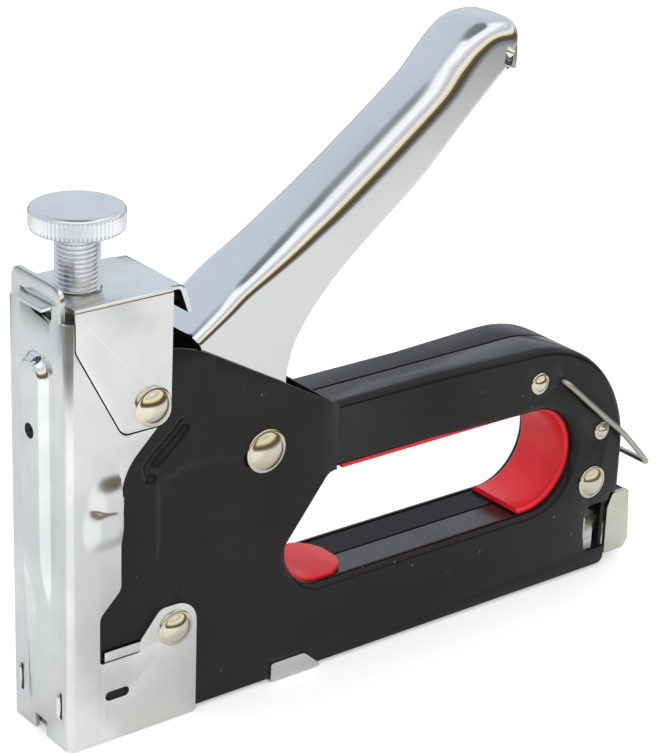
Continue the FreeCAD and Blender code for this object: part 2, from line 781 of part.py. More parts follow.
def body_left():
    """The near pressed half: cheek, grip, rear loop and magazine rail with turned-in rims."""
    body = new_body("body_left")
    outer = -s.half_outer
    seam = -s.half_gap * HALF_SHARE
    outside = outer - s.overrun
    shoulder_z = s.cheek_top_z + s.shoulder_drop
    outline = [
        (s.body_front, s.body_bottom),
        (s.catch_recess_x, s.body_bottom, s.rim_round),
        (s.catch_recess_x, s.catch_recess_top),
        (s.body_rear, s.catch_recess_top),
        (s.body_rear, s.cheek_rear_z, s.loop_round),
        (s.cheek_rear, s.cheek_rear_z),
        (s.cheek_top_front, s.cheek_top_z, s.loop_round),
        (s.shoulder_x, shoulder_z),
        (s.shoulder_x, s.inner_top),
        (s.body_front, s.inner_top)]
    pad(body, "XZ", outer, seam, [outline, window_corners(ZERO)])
    soften(body, s.rim_round, rim_edge)
    step = s.cheek_rear
    ramp_end = s.grip_ramp_start + s.grip_ramp_length
    grip_side = [
        (s.cheek_soft_start, outside), (s.cheek_soft_start, outer),
        (step, outer + s.cheek_soft_depth), (step, -s.grip_half),
        (s.grip_ramp_start, -s.grip_half), (ramp_end, outer), (ramp_end, outside)]
    pocket(body, "XY", s.grip_bottom, s.cheek_top_z, [grip_side])
    for height, way in ((s.cheek_rear_z, 1), (s.grip_bottom, -1)):
        round_grip_edge(body, step, s.grip_ramp_start, -s.grip_half, -s.grip_half, height, way)
        round_grip_edge(body, s.grip_ramp_start, ramp_end, -s.grip_half, outer, height, way)
    front = s.body_front - s.overrun
    low = s.body_bottom - s.overrun
    ceiling = s.cheek_rear_z - s.half_wall
    floor = s.catch_recess_top + s.half_wall
    collar = s.half_wall + s.rim_bead
    bottom_front, bottom_rear, top_rear, head, kink = window_corners(collar)
    depth = outer + s.half_wall
    pocket(body, "XZ", depth, seam, [[
        (front, low),
        (s.catch_recess_x - s.half_wall, low),
        (s.catch_recess_x - s.half_wall, floor),
        (s.body_rear - s.half_wall, floor),
        (s.body_rear - s.half_wall, ceiling, s.loop_round - s.half_wall),
        (ramp_end, ceiling), (ramp_end, s.grip_bottom + collar),
        top_rear, bottom_rear, bottom_front, kink, head[:2],
        (head[0], s.inner_top + s.overrun),
        (front, s.inner_top + s.overrun)]])
    pocket(body, "XZ", -s.grip_half + s.half_wall, seam, [box(
        head[0], ramp_end, s.grip_bottom + collar, ceiling)])
    exit_side = s.channel_half - s.channel_wall
    pocket(body, "XZ", -exit_side, seam, [box(
        s.catch_recess_x - s.half_wall * 2, s.catch_recess_x + s.overrun, low, s.channel_top + s.run_play)])
    pocket(body, "XZ", outer + s.rim_bead_width, seam + s.overrun, [window_corners(s.rim_bead)])
    finger = [
        (s.finger_front, s.finger_bottom, s.finger_round),
        (s.catch_recess_x + s.overrun, s.finger_bottom),
        (s.catch_recess_x + s.overrun, s.finger_bottom + s.finger_height),
        (s.finger_front, s.finger_bottom + s.finger_height, s.finger_round)]
    pocket(body, "XZ", outside, depth + s.fit, [finger])
    for x, z, shank in RIVET_HOLES:
        pocket(body, "XZ", outside, depth + s.fit, circles=[((x, z), shank + s.fit)])
    pocket(body, "XZ", outside, depth + s.fit,
           circles=[((s.wire_hinge_x, s.wire_hinge_z), s.wire_radius + s.fit)])
    return keep(body)


def rim_edge(edge):
    """Picks the flat outer edges of the grip, rear loop and window, which the press rounds."""
    bounds = edge.BoundBox
    flat = near(bounds.YMin, -s.half_outer) and near(bounds.YMax, -s.half_outer)
    loop = bounds.XMin > s.cheek_rear.value - s.fit.value and \
        bounds.ZMax > s.catch_recess_top.value + s.sheet_round.value
    window = bounds.XMin > s.window_front.value - s.fit.value and \
        bounds.ZMin > s.rail_top.value - s.fit.value and bounds.ZMax < s.grip_bottom.value + s.fit.value
    return flat and (loop or window)


def round_grip_edge(body, front, rear, front_side, rear_side, height, way):
    """Rounds one long edge of the grip between two places, where its side may draw outwards."""
    radius = s.rim_round
    out = s.overrun
    sections = []
    for place_at, side in ((front, front_side), (rear, rear_side)):
        sketch = body.newObject("Sketcher::SketchObject", "grip_edge")
        on_plane(sketch, body, "YZ_Plane", place_at)
        low = height - radius * way
        high = height + out * way
        draw_polygon(sketch, [
            (side - out, low), (side, low), (side, height, radius * ROUND_SHARE), (side + radius, height),
            (side + radius, high), (side - out, high)])
        sections.append(sketch)
    doc.recompute()
    before = body.Shape.Volume
    loft = body.newObject("PartDesign::SubtractiveLoft", "grip_edge_round")
    loft.Profile = sections[0]
    loft.Sections = sections[1:]
    loft.Ruled = True
    doc.recompute()
    if not body.Shape.Volume < before:
        raise RuntimeError("%s: the grip's edge wasn't rounded" % body.Label)


RIVET_HOLES = (
    (s.upper_rivet_x, s.upper_rivet_z, s.upper_rivet_shank),
    (s.lower_rivet_x, s.lower_rivet_z, s.lower_rivet_shank),
    (s.pivot_x, s.pivot_z, s.pivot_shank),
    (s.rear_rivet_x, s.rear_rivet_z, s.rear_rivet_shank),
    (s.grip_rivet_x, s.grip_rivet_z, s.grip_rivet_shank),
    (s.stop_pin_x, s.stop_pin_z, s.stop_pin_shank),
    (s.screw_x, s.buffer_top - s.buffer_height * HALF_SHARE, s.buffer_pin_radius))


def body_right(left):
    """The far pressed half, a mirror image of the near one."""
    mirror = doc.addObject("Part::Mirroring", "body_right")
    mirror.Label = "body_right"
    mirror.Source = left
    mirror.Normal = FreeCAD.Vector(0, 1, 0)
    doc.recompute()
    return keep(mirror)


def rivet(label, x, z, base, head, shank, dome):
    """A rivet across both halves, with a stepped rim and a dome at each end."""
    rim = base + s.rivet_rim
    foot = head - s.rivet_step
    crown = rim + dome
    shoulder = (foot * foot + dome * dome) / (foot * 2)
    sweep = (foot * foot + dome * dome) / (dome * 2) * DOME_ROUND_SHARE
    profile = [
        (0, -crown), (shoulder, -crown, sweep), (foot, -rim), (head, -rim), (head, -base), (shank, -base),
        (shank, base), (head, base), (head, rim), (foot, rim), (shoulder, crown, sweep), (0, crown)]
    return place(turned(label, profile), x=x, z=z)


def rod(label, radius, low, high, axis="Y"):
    """A plain round rod between two places on its axis."""
    return turned(label, [(0, low), (radius, low), (radius, high), (0, high)], axis)


def tube(label, bore, radius, low, high, axis="Y"):
    """A plain round tube between two places on its axis."""
    return turned(label, [(bore, low), (radius, low), (radius, high), (bore, high)], axis)


def fastenings():
    """The six rivets and pins through both halves, with their spacer tubes."""
    casing = s.casing_half
    rivet("upper_front_rivet", s.upper_rivet_x, s.upper_rivet_z, casing,
          s.upper_rivet_head, s.upper_rivet_shank, s.dome_height)
    rivet("lower_front_rivet", s.lower_rivet_x, s.lower_rivet_z, casing,
          s.lower_rivet_head, s.lower_rivet_shank, s.dome_height)
    rivet("lever_pivot_rivet", s.pivot_x, s.pivot_z, s.half_outer, s.pivot_head, s.pivot_shank, s.dome_height)
    rivet("rear_rivet", s.rear_rivet_x, s.rear_rivet_z, s.half_outer,
          s.rear_rivet_head, s.rear_rivet_shank, s.dome_height)
    rivet("grip_rivet", s.grip_rivet_x, s.grip_rivet_z, s.half_outer,
          s.grip_rivet_head, s.grip_rivet_shank, s.small_dome_height)
    rivet("wire_stop_pin", s.stop_pin_x, s.stop_pin_z, s.half_outer,
          s.stop_pin_head, s.stop_pin_shank, s.small_dome_height)
    reach = s.inner_half - s.inner_play
    for label, x, z, shank in (
            ("front_spacer", s.lower_rivet_x, s.lower_rivet_z, s.lower_rivet_shank),
            ("rear_spacer", s.rear_rivet_x, s.rear_rivet_z, s.rear_rivet_shank)):
        bore = shank + s.inner_play
        place(tube(label, bore, bore + s.spacer_wall, -reach, reach), x=x, z=z)


def grip_liner():
    """The soft liner under the grip and round the window's rear end."""
    body = new_body("grip_liner")
    seat = s.rim_bead - s.inner_play
    radius = (s.grip_bottom - s.rail_top) * HALF_SHARE
    centre = (s.loop_x, s.rail_top + radius)
    pad(body, "XZ", -s.liner_half, s.liner_half,
        circles=[(centre, radius + seat), (centre, radius - s.liner_proud)])
    wide = s.liner_half + s.overrun
    front = s.loop_x - radius - s.overrun
    pocket(body, "XZ", -wide, wide, [box(front, s.liner_foot, s.rail_top - s.overrun, centre[1])])
    pocket(body, "XZ", -wide, wide, [box(front, s.loop_x, centre[1], s.grip_bottom + s.overrun)])
    crown = radius - s.liner_proud
    soften(body, s.liner_round, either(*[liner_edge(y, crown) for y in (-s.liner_half, s.liner_half)]))
    pad(body, "XZ", -s.strip_half, s.strip_half,
        [box(s.strip_front, s.loop_x, s.grip_bottom - s.strip_proud, s.grip_bottom + seat)])
    return keep(body)


def liner_edge(y, radius):
    """A test for the liner's inner round edges on one side."""
    def test(edge):
        curve = edge.Curve
        round_one = hasattr(curve, "Radius") and near(curve.Radius, radius)
        return round_one and near(edge.BoundBox.YMin, y) and near(edge.BoundBox.YMax, y)
    return test


def front_corner_liner():
    """The soft liner in the window's lower front corner, with a tongue along the rail."""
    body = new_body("front_corner_liner")
    seat = s.rim_bead - s.inner_play
    left = s.window_front - seat
    low = s.rail_top - seat
    inner_left = s.window_front + s.corner_proud
    inner_low = s.rail_top + s.corner_proud
    pad(body, "XZ", -s.liner_half, s.liner_half, [[
        (left, s.corner_top),
        (left, low, s.window_corner_round + seat),
        (s.corner_foot, low),
        (s.corner_foot, s.rail_top + s.strip_proud),
        (s.corner_foot - s.corner_taper, inner_low),
        (inner_left, inner_low, s.window_corner_round - s.corner_proud * 2),
        (inner_left, s.corner_top)]])
    return keep(body)


def lever_handle():
    """The squeeze lever: a channel with a rounded tip, two flanges and a short lifting arm."""
    body = new_body("lever_handle")
    half = s.lever_half
    roller_x = s.pivot_x - s.arm_forward
    roller_z = s.pivot_z - s.arm_drop
    outline = [
        (s.lever_front, s.lever_front_z),
        (s.lever_mid_x, s.lever_mid_z, s.lever_mid_round),
        (s.lever_neck_x, s.lever_neck_z, s.tip_top_round),
        (s.lever_tip_x, s.lever_tip_z, s.tip_top_round),
        (s.lever_nose_x, s.lever_nose_z, s.tip_end_round),
        (s.lever_end_x, s.lever_end_z),
        (s.lever_heel_x, s.lever_end_z),
        (s.lever_under_x, s.lever_under_z),
        (s.lever_waist_x, s.lever_waist_z, s.throat_round),
        (s.lever_throat_x, s.lever_throat_z, s.throat_round),
        (s.lever_back_x, s.lever_back_z),
        (s.pivot_x + s.lever_boss, s.pivot_z),
        (s.pivot_x, s.pivot_z - s.lever_boss),
        (roller_x, roller_z - s.arm_boss),
        (roller_x - s.arm_boss, roller_z)]
    pad(body, "XZ", -half, half, [outline])
    pad(body, "XZ", -half, half, circles=[((s.pivot_x, s.pivot_z), s.lever_boss)])
    pad(body, "XZ", -half, half, circles=[((roller_x, roller_z), s.arm_boss)])
    soften(body, s.lever_round, lever_top_edge)
    wall = s.lever_wall
    inset = [(place_at[0] + wall * share[0], place_at[1] + wall * share[1]) for place_at, share in zip(
        ((s.lever_mid_x, s.lever_mid_z), (s.lever_neck_x, s.lever_neck_z),
         (s.lever_tip_x, s.lever_tip_z), (s.lever_nose_x, s.lever_nose_z)), LEVER_INSET_SHARES)]
    along, across = LEVER_LEAN_SHARES
    mouth_x = s.lever_front + wall * across - s.overrun * along
    mouth_z = s.lever_front_z - wall * along - s.overrun * across
    low = s.pivot_z - s.arm_drop - s.arm_boss - s.overrun
    outside = s.pivot_x - s.arm_forward - s.arm_boss - s.overrun
    inner_end = s.lever_end_x - wall
    pocket(body, "XZ", -half + wall, half - wall, [[
        (mouth_x, mouth_z), inset[0], inset[1] + (s.tip_top_round,),
        inset[2] + (s.tip_top_round - wall,), inset[3] + (s.tip_end_round - wall,),
        (inner_end, s.lever_end_z - s.overrun), (inner_end, low), (outside, low), (outside, mouth_z)]])
    end = s.lever_end_x
    reach = s.tip_plan_round
    for side in (-1, 1):
        edge = half * side
        beyond = (half + s.overrun) * side
        turn = edge - reach * side
        pocket(body, "XY", s.lever_end_z - s.overrun, s.lever_tip_z + s.overrun, [[
            (end - reach, beyond), (end + s.overrun, beyond), (end + s.overrun, turn), (end, turn),
            (end, edge, reach * ROUND_SHARE), (end - reach, edge)]])
    wide = half + s.overrun
    for x, z, radius in ((s.pivot_x, s.pivot_z, s.pivot_shank), (roller_x, roller_z, s.lift_pin_radius)):
        pocket(body, "XZ", -wide, wide, circles=[((x, z), radius + s.fit)])
    return keep(body)


def lever_top_edge(edge):
    """Picks the outer edges along the lever's top, which lie above the line from front to end."""
    bounds = edge.BoundBox
    on_side = near(bounds.YMin, bounds.YMax) and near(abs(bounds.YMin), s.lever_half)
    rise = (s.lever_end_z - s.lever_front_z) / (s.lever_end_x - s.lever_front)
    line = s.lever_front_z.value + rise.value * (edge.CenterOfMass.x - s.lever_front.value)
    heel = near(bounds.ZMax, s.lever_end_z)
    return on_side and not heel and edge.CenterOfMass.z > line + s.lever_wall.value * 2


def lever_inner_pieces():
    """The bush between the lever's flanges, and the pin and roller on its arm."""
    inside = s.lever_half - s.lever_wall - s.inner_play
    bush_bore = s.pivot_shank + s.fit
    place(tube("pivot_bush", bush_bore, s.bush_radius, -inside, inside), x=s.pivot_x, z=s.pivot_z)
    roller_x = s.pivot_x - s.arm_forward
    roller_z = s.pivot_z - s.arm_drop
    place(rod("lift_pin", s.lift_pin_radius, -s.lever_half, s.lever_half), x=roller_x, z=roller_z)
    place(tube("lift_roller", s.lift_pin_radius + s.fit, s.roller_radius, -s.roller_half, s.roller_half),
          x=roller_x, z=roller_z)


def driver_carrier():
    """The driver's carrier: a block with a spring spigot, a nose for the blade and a slotted lug."""
    body = new_body("driver_carrier")
    back_of_blade = s.casing_wall + s.blade_gap + s.blade_thickness
    top = s.carrier_bottom + s.carrier_height
    pad(body, "XZ", -s.carrier_half, s.carrier_half,
        [box(back_of_blade, s.carrier_rear, s.carrier_bottom, top)])
    soften(body, s.carrier_round, both(lies_in("X", s.carrier_rear), upright_edge))
    hook_low = s.carrier_bottom + (s.carrier_height - s.hook_height) * HALF_SHARE
    pad(body, "XZ", -s.hook_half, s.hook_half,
        [box(s.casing_wall + s.blade_gap, back_of_blade + s.overrun, hook_low, hook_low + s.hook_height)])
    pad(body, "XY", top, top + s.spigot_height, circles=[((s.screw_x, ZERO), s.spigot_radius)])
    roller_x = s.pivot_x - s.arm_forward
    roller_z = s.pivot_z - s.arm_drop
    slot = s.roller_radius + s.slot_play
    rear = s.carrier_rear + s.lug_length
    pad(body, "XZ", -s.lug_half_width, s.lug_half_width, [[
        (s.carrier_rear - s.overrun, s.carrier_bottom),
        (s.carrier_rear + s.overrun, roller_z - slot - s.lug_wall, s.lug_wall),
        (rear, roller_z - slot - s.lug_wall),
        (rear, roller_z + slot + s.lug_wall),
        (s.carrier_rear + s.overrun, roller_z + slot + s.lug_wall, s.lug_wall),
        (s.carrier_rear - s.overrun, top)]])
    wide = s.lug_half_width + s.overrun
    pocket(body, "XZ", -wide, wide, [box(
        roller_x - s.roller_radius - s.lug_wall, rear + s.overrun, roller_z - slot, roller_z + slot)])
    return keep(body)


def upright_edge(edge):
    """A test for edges that run up and down."""
    bounds = edge.BoundBox
    return bounds.ZLength > bounds.XLength + bounds.YLength


def driver_blade():
    """The hardened driver blade that strikes the staple, hooked on its carrier."""
    body = new_body("driver_blade")
    front = s.casing_wall + s.blade_gap
    rear = front + s.blade_thickness
    pad(body, "YZ", front, rear, [box(-s.blade_half, s.blade_half, s.blade_bottom, s.blade_top)])
    hook_low = s.carrier_bottom + (s.carrier_height - s.hook_height) * HALF_SHARE
    side = s.hook_half + s.inner_play
    pocket(body, "YZ", front - s.overrun, rear + s.overrun, [box(
        -side, side, hook_low - s.inner_play, hook_low + s.hook_height + s.inner_play)])
    return keep(body)


def screw_and_seat():
    """The adjusting screw with its knob, the nut under the cap and the spring's upper seat."""
    seat_top = s.seat_bottom + s.seat_thickness
    place(turned("spring_seat", [
        (0, s.seat_bottom - s.seat_spigot), (s.spigot_radius, s.seat_bottom - s.seat_spigot),
        (s.spigot_radius, s.seat_bottom), (s.seat_radius, s.seat_bottom),
        (s.seat_radius, seat_top), (0, seat_top)], "Z"), x=s.screw_x)
    foot = seat_top + s.inner_play
    head = s.knob_bottom + s.knob_height - s.knob_skin
    place(turned("adjusting_screw", [
        (0, foot), (s.screw_radius - s.screw_chamfer, foot), (s.screw_radius, foot + s.screw_chamfer),
        (s.screw_radius, head - s.screw_chamfer), (s.screw_radius - s.screw_chamfer, head), (0, head)], "Z"),
        x=s.screw_x)
    adjusting_knob(head)
    nut = new_body("cap_nut")
    nut_top = s.cap_top - s.casing_wall
    corners = []
    for side in range(NUT_SIDES):
        angle = math.radians(FULL_TURN * side / NUT_SIDES)
        corners.append((s.screw_x + s.nut_radius * math.cos(angle), s.nut_radius * math.sin(angle)))
    pad(nut, "XY", nut_top - s.nut_height, nut_top, [corners],
        circles=[((s.screw_x, ZERO), s.screw_radius + s.screw_play)])
    keep(nut)


def adjusting_knob(screw_head):
    """The round knob with straight flutes all round its rim."""
    top = s.knob_bottom + s.knob_height
    rim = s.knob_radius
    bore = s.screw_radius + s.fit
    body = turned("adjusting_knob", [
        (0, screw_head), (bore, screw_head), (bore, s.knob_bottom), (rim, s.knob_bottom, s.knob_round),
        (rim, top, s.knob_round), (0, top)], "Z")
    flute = pocket(body, "XY", s.knob_bottom - s.overrun, top + s.overrun,
                   circles=[((rim, ZERO), s.flute_radius)])
    pattern = body.newObject("PartDesign::PolarPattern", "adjusting_knob_flutes")
    pattern.Originals = [flute]
    pattern.Axis = (flute.Profile[0], ["N_Axis"])
    pattern.Angle = FULL_TURN
    pattern.Occurrences = FLUTES
    body.Tip = pattern
    doc.recompute()
    place(body, x=s.screw_x)


def biarc(start, start_way, end, end_way):
    """Two arcs that leave start along start_way and reach end along end_way."""
    span = end - start
    ways = start_way + end_way
    slack = 2 * (1 - start_way.dot(end_way))
    lean = span.dot(ways)
    reach = (math.sqrt(lean * lean + slack * span.dot(span)) - lean) / slack
    first_corner = start + start_way * reach
    last_corner = end - end_way * reach
    joint = (first_corner + last_corner) * HALF_SHARE
    arcs = []
    for low, corner, high in ((start, first_corner, joint), (joint, last_corner, end)):
        middle = (low + high) * HALF_SHARE
        chord = low.distanceToPoint(middle)
        height = corner.distanceToPoint(middle)
        bow = chord * math.tan(math.atan2(height, chord) * HALF_SHARE)
        arcs.append(Part.Arc(low, middle + (corner - middle).normalize() * bow, high).toShape())
    return arcs


def coil(label, radius, wire, length, turns):
    """A round wire wound round +Z from z = 0 to its length, as one unbroken tube."""
    steps = round(turns * STEPS_PER_TURN)
    around = 2 * math.pi * turns * radius
    rise = (length - wire) / (1 + 2 * wire / around)
    lead = math.atan2(rise, around)
    low = (length - rise) * HALF_SHARE

    def at(share):
        angle = 2 * math.pi * turns * share
        spot = FreeCAD.Vector(radius * math.cos(angle), radius * math.sin(angle), low + rise * share)
        level = math.cos(lead)
        return spot, FreeCAD.Vector(-math.sin(angle) * level, math.cos(angle) * level, math.sin(lead))

    first, first_way = at(0)
    last, last_way = at(1)
    edges = [Part.LineSegment(first - first_way * wire, first).toShape()]
    for step in range(steps):
        edges.extend(biarc(*at(step / steps), *at((step + 1) / steps)))
    edges.append(Part.LineSegment(last, last + last_way * wire).toShape())
    section = Part.Wire(Part.makeCircle(wire * HALF_SHARE, first - first_way * wire, first_way))
    thing = doc.addObject("Part::Feature", label)
    thing.Label = label
    thing.Shape = Part.Wire(edges).makePipeShell([section], True, False)
    samples = round(turns * GAP_SAMPLES_PER_TURN)
    spots = [at(index / samples)[0] for index in range(samples + 1)]
    gap = min(
        (spots[one].distanceToPoint(spots[other]) - wire
         for one in range(samples + 1)
         for other in range(one + GAP_SAMPLES_PER_TURN // 2, samples + 1)), default=length)
    print("%s: least gap to itself %.2f mm, wound length %.0f mm" % (label, gap, math.hypot(rise, around)))
    if gap < LEAST_COIL_GAP:
        raise RuntimeError("%s touches itself" % label)
    return keep(thing)


def main_spring():
    """The heavy compression spring between the driver's carrier and its upper seat."""
    low = s.carrier_bottom + s.carrier_height
    length = s.seat_bottom - low
    thing = coil("main_spring", s.spring_radius.value, s.spring_wire.value,
                 (length - s.inner_play * 2).value, SPRING_TURNS)
    return place(thing, x=s.screw_x, z=low + s.inner_play)


def inner_stops():
    """The rubber buffer on its cross pin, and the plate that guides the driver blade."""
    buffer = new_body("rubber_buffer")
    middle = s.buffer_top - s.buffer_height * HALF_SHARE
    low = s.buffer_top - s.buffer_height
    reach = s.inner_half - s.run_play
    pad(buffer, "XZ", -reach, reach, [[
        (s.buffer_front, low, s.buffer_round), (s.buffer_rear, low, s.buffer_round),
        (s.buffer_rear, s.buffer_top, s.buffer_round), (s.buffer_front, s.buffer_top, s.buffer_round)]],
        circles=[((s.screw_x, middle), s.buffer_pin_radius + s.fit)])
    keep(buffer)
    span = s.half_outer - s.fit
    place(rod("buffer_pin", s.buffer_pin_radius, -span, span), x=s.screw_x, z=middle)
    guide = new_body("driver_guide")
    reach = s.inner_half - s.inner_play
    pad(guide, "XZ", -reach, reach, [box(
        s.guide_front, s.guide_front + s.guide_thickness, s.guide_bottom, s.guide_top)])
    keep(guide)


def lock_wire():
    """The bent wire loop that hangs on the rear of the grip and locks the lever down."""
    body = new_body("lock_wire")
    path = body.newObject("Sketcher::SketchObject", "lock_wire_path")
    on_plane(path, body, "XY_Plane", ZERO)
    side = s.wire_plane
    draw_polygon(path, [
        (0, -s.wire_hook_end), (0, -side, s.wire_bend), (s.wire_reach, -side, s.wire_bend),
        (s.wire_reach, side, s.wire_bend), (0, side, s.wire_bend), (0, s.wire_hook_end)], closed=False)
    section = body.newObject("Sketcher::SketchObject", "lock_wire_section")
    on_plane(section, body, "XZ_Plane", s.wire_hook_end)
    draw_circle(section, (ZERO, ZERO), s.wire_radius)
    doc.recompute()
    pipe = body.newObject("PartDesign::AdditivePipe", "lock_wire_pipe")
    pipe.Profile = section
    pipe.Spine = path
    doc.recompute()
    body.Placement.Rotation = FreeCAD.Rotation(FreeCAD.Vector(0, 1, 0), s.wire_slope.value)
    place(body, x=s.wire_hinge_x, z=s.wire_hinge_z)
    return keep(body)


def magazine_channel():
    """The fixed outer channel of the magazine, with two tabs that clasp the halves' lower edges."""
    body = new_body("magazine_channel")
    half = s.channel_half
    pad(body, "XZ", -half, half, [box(s.channel_front, s.channel_rear, ZERO, s.channel_top)])
    inner = half - s.channel_wall
    pocket(body, "XZ", -inner, inner, [box(
        s.channel_front - s.overrun, s.channel_rear + s.overrun, s.channel_wall, s.channel_top + s.overrun)])
    outer = s.half_outer + s.tab_sheet
    rear = s.tab_front + s.tab_length
    pad(body, "XZ", -outer, outer, [box(s.tab_front, rear, ZERO, s.tab_sheet)])
    for low, high in ((-outer, -s.half_outer), (s.half_outer, outer)):
        pad(body, "XZ", low, high, [[
            (s.tab_front, ZERO), (rear, ZERO), (rear, s.tab_sheet),
            (rear - s.tab_slope, s.tab_top, s.tab_slope * HALF_SHARE),
            (s.tab_front, s.tab_top, s.tab_sheet)]])
    return keep(body)


def feed_rail():
    """The sliding inner rail that carries the staples, an upside-down channel with a slot on top."""
    body = new_body("feed_rail")
    half = s.rail_half
    inner = half - s.rail_wall
    under = s.rail_high - s.rail_wall
    pad(body, "YZ", s.rail_front, s.rail_rear, [[
        (-half, s.rail_low), (-inner, s.rail_low), (-inner, under), (inner, under),
        (inner, s.rail_low), (half, s.rail_low), (half, s.rail_high), (-half, s.rail_high)]])
    pad(body, "YZ", s.rail_front, s.rail_front + s.rail_wall, [box(-half, half, s.rail_low, s.rail_high)])
    pocket(body, "XY", under - s.fit, s.rail_high + s.overrun, [box(
        s.rail_slot_front, s.rail_slot_rear, -s.rail_slot_half, s.rail_slot_half)])
    pocket(body, "YZ", s.rail_front - s.overrun, s.rail_front + s.rail_wall + s.overrun,
           circles=[((ZERO, s.rod_height), s.rod_radius + s.fit)])
    wide = half + s.overrun
    pocket(body, "XZ", -wide, wide, circles=[((s.end_pin_x, s.rod_height), s.end_pin_radius + s.fit)])
    return keep(body)


def rail_end():
    """The rail's rear end: rod, end block, cross pin, side catch and its rivet."""
    rod("spring_rod", s.rod_radius, s.rail_front, s.rod_end, "X")
    place(doc.getObject("spring_rod"), z=s.rod_height)
    block = new_body("rail_end_block")
    block_rear = s.block_rear
    half = s.rail_half - s.rail_wall - s.inner_play
    pad(block, "XZ", -half, half, [box(s.block_front, block_rear, s.block_low, s.block_high)])
    pocket(block, "YZ", s.block_front - s.overrun, s.rod_end + s.inner_play,
           circles=[((ZERO, s.rod_height), s.rod_radius + s.fit)])
    wide = half + s.overrun
    pocket(block, "XZ", -wide, wide, circles=[((s.end_pin_x, s.rod_height), s.end_pin_radius + s.fit)])
    rivet_front = block_rear - s.catch_rivet_depth
    pocket(block, "YZ", rivet_front - s.inner_play, block_rear + s.overrun,
           circles=[((ZERO, s.rod_height), s.catch_rivet_radius + s.fit)])
    keep(block)
    place(rod("rail_end_pin", s.end_pin_radius, -s.rail_half, s.rail_half), x=s.end_pin_x, z=s.rod_height)
    magazine_catch()
    crown = s.catch_rear + s.small_dome_height
    place(turned("catch_rivet", [
        (0, rivet_front), (s.catch_rivet_radius, rivet_front), (s.catch_rivet_radius, s.catch_rear),
        (s.catch_rivet_head, s.catch_rear),
        (s.catch_rivet_head, crown, s.small_dome_height * DOME_ROUND_SHARE), (0, crown)], "X"),
        z=s.rod_height)


def magazine_catch():
    """The spring-steel catch at the rail's rear end, whose two sides are squeezed to free it."""
    body = new_body("magazine_catch")
    half = s.catch_half
    pad(body, "XZ", -half, half, [[
        (s.catch_front, s.catch_low), (s.catch_rear - s.catch_nose, s.catch_low, s.catch_sheet),
        (s.catch_rear, s.catch_heel + s.catch_nose, s.catch_sheet),
        (s.catch_rear - s.catch_sheet, s.catch_top, s.catch_sheet),
        (s.catch_front + s.catch_nose, s.catch_top, s.catch_sheet),
        (s.catch_front, s.catch_top - s.catch_heel, s.catch_sheet)]])
    inner = half - s.catch_sheet
    pocket(body, "XZ", -inner, inner, [box(
        s.catch_front - s.overrun, s.block_rear, s.catch_low - s.overrun, s.catch_top + s.overrun)])
    pocket(body, "YZ", s.block_rear - s.overrun, s.catch_rear + s.overrun,
           circles=[((ZERO, s.rod_height), s.catch_rivet_radius + s.fit)])
    return keep(body)


def staple_pusher():
    """The pusher that rides on the rail, with an inner block on the spring rod."""
    body = new_body("staple_pusher")
    half = s.pusher_half
    rear = s.pusher_front + s.pusher_length
    roof = s.rail_high + s.run_play
    pad(body, "XZ", -half, half, [box(s.pusher_front, rear, s.pusher_low, roof + s.pusher_wall)])
    inner = half - s.pusher_wall
    pocket(body, "XZ", -inner, inner, [box(
        s.pusher_front - s.overrun, rear + s.overrun, s.pusher_low - s.overrun, roof)])
    pad(body, "XZ", -s.follower_half, s.follower_half, [box(
        s.pusher_front, rear, s.follower_low, s.follower_high)])
    pad(body, "XZ", -s.pusher_web_half, s.pusher_web_half, [box(
        s.rail_slot_front + s.run_play, rear, s.follower_high - s.fit, roof + s.fit)])
    pocket(body, "YZ", s.pusher_front - s.overrun, rear + s.overrun,
           circles=[((ZERO, s.rod_height), s.rod_radius + s.run_play)])
    return keep(body)


def feeder_spring():
    """The long light spring on the rod that pushes the staples forward."""
    front = s.pusher_front + s.pusher_length + s.inner_play
    length = s.block_front - s.inner_play - front
    thing = coil("feeder_spring", s.feeder_radius.value, s.feeder_wire.value, length.value, FEEDER_TURNS)
    thing.Placement.Rotation = FreeCAD.Rotation(FreeCAD.Vector(0, 1, 0), QUARTER_TURN)
    return place(thing, x=front, z=s.rod_height)


def write_out():
    """Checks every object and writes each sub-part to its own file."""
    doc.recompute()
    for thing in doc.Objects:
        if {"Invalid", "Error"} & set(thing.State):
            raise RuntimeError("%s is %s" % (thing.Label, thing.State))
    for thing in nodes:
        shape = thing.Shape
        if shape.isNull() or not shape.isValid():
            raise RuntimeError("%s has no valid shape" % thing.Label)
    for thing in nodes:
        thing.Shape.exportStep("parts/%s.step" % thing.Label)
        print("%-22s %d solids %10.1f mm3" % (thing.Label, len(thing.Shape.Solids), thing.Shape.Volume))


front_casing()
top_cap()
body_right(body_left())
fastenings()
grip_liner()
front_corner_liner()
lever_handle()
lever_inner_pieces()
driver_carrier()
driver_blade()
main_spring()
screw_and_seat()
inner_stops()
lock_wire()
magazine_channel()
feed_rail()
rail_end()
staple_pusher()
feeder_spring()
write_out()
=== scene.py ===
"""Looks of the hand staple tacker: its finishes, its finely modelled pieces and a plain studio.

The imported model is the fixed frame. Lengths in the pieces' classes are millimetres in that frame,
with +X from the nose to the rear, +Z up along the driver and y = 0 the middle plane.
"""
import json
import logging
import math
from collections.abc import Callable, Iterable
from dataclasses import dataclass, field
from enum import Enum

import bmesh
import bpy
from mathutils import Matrix, Vector


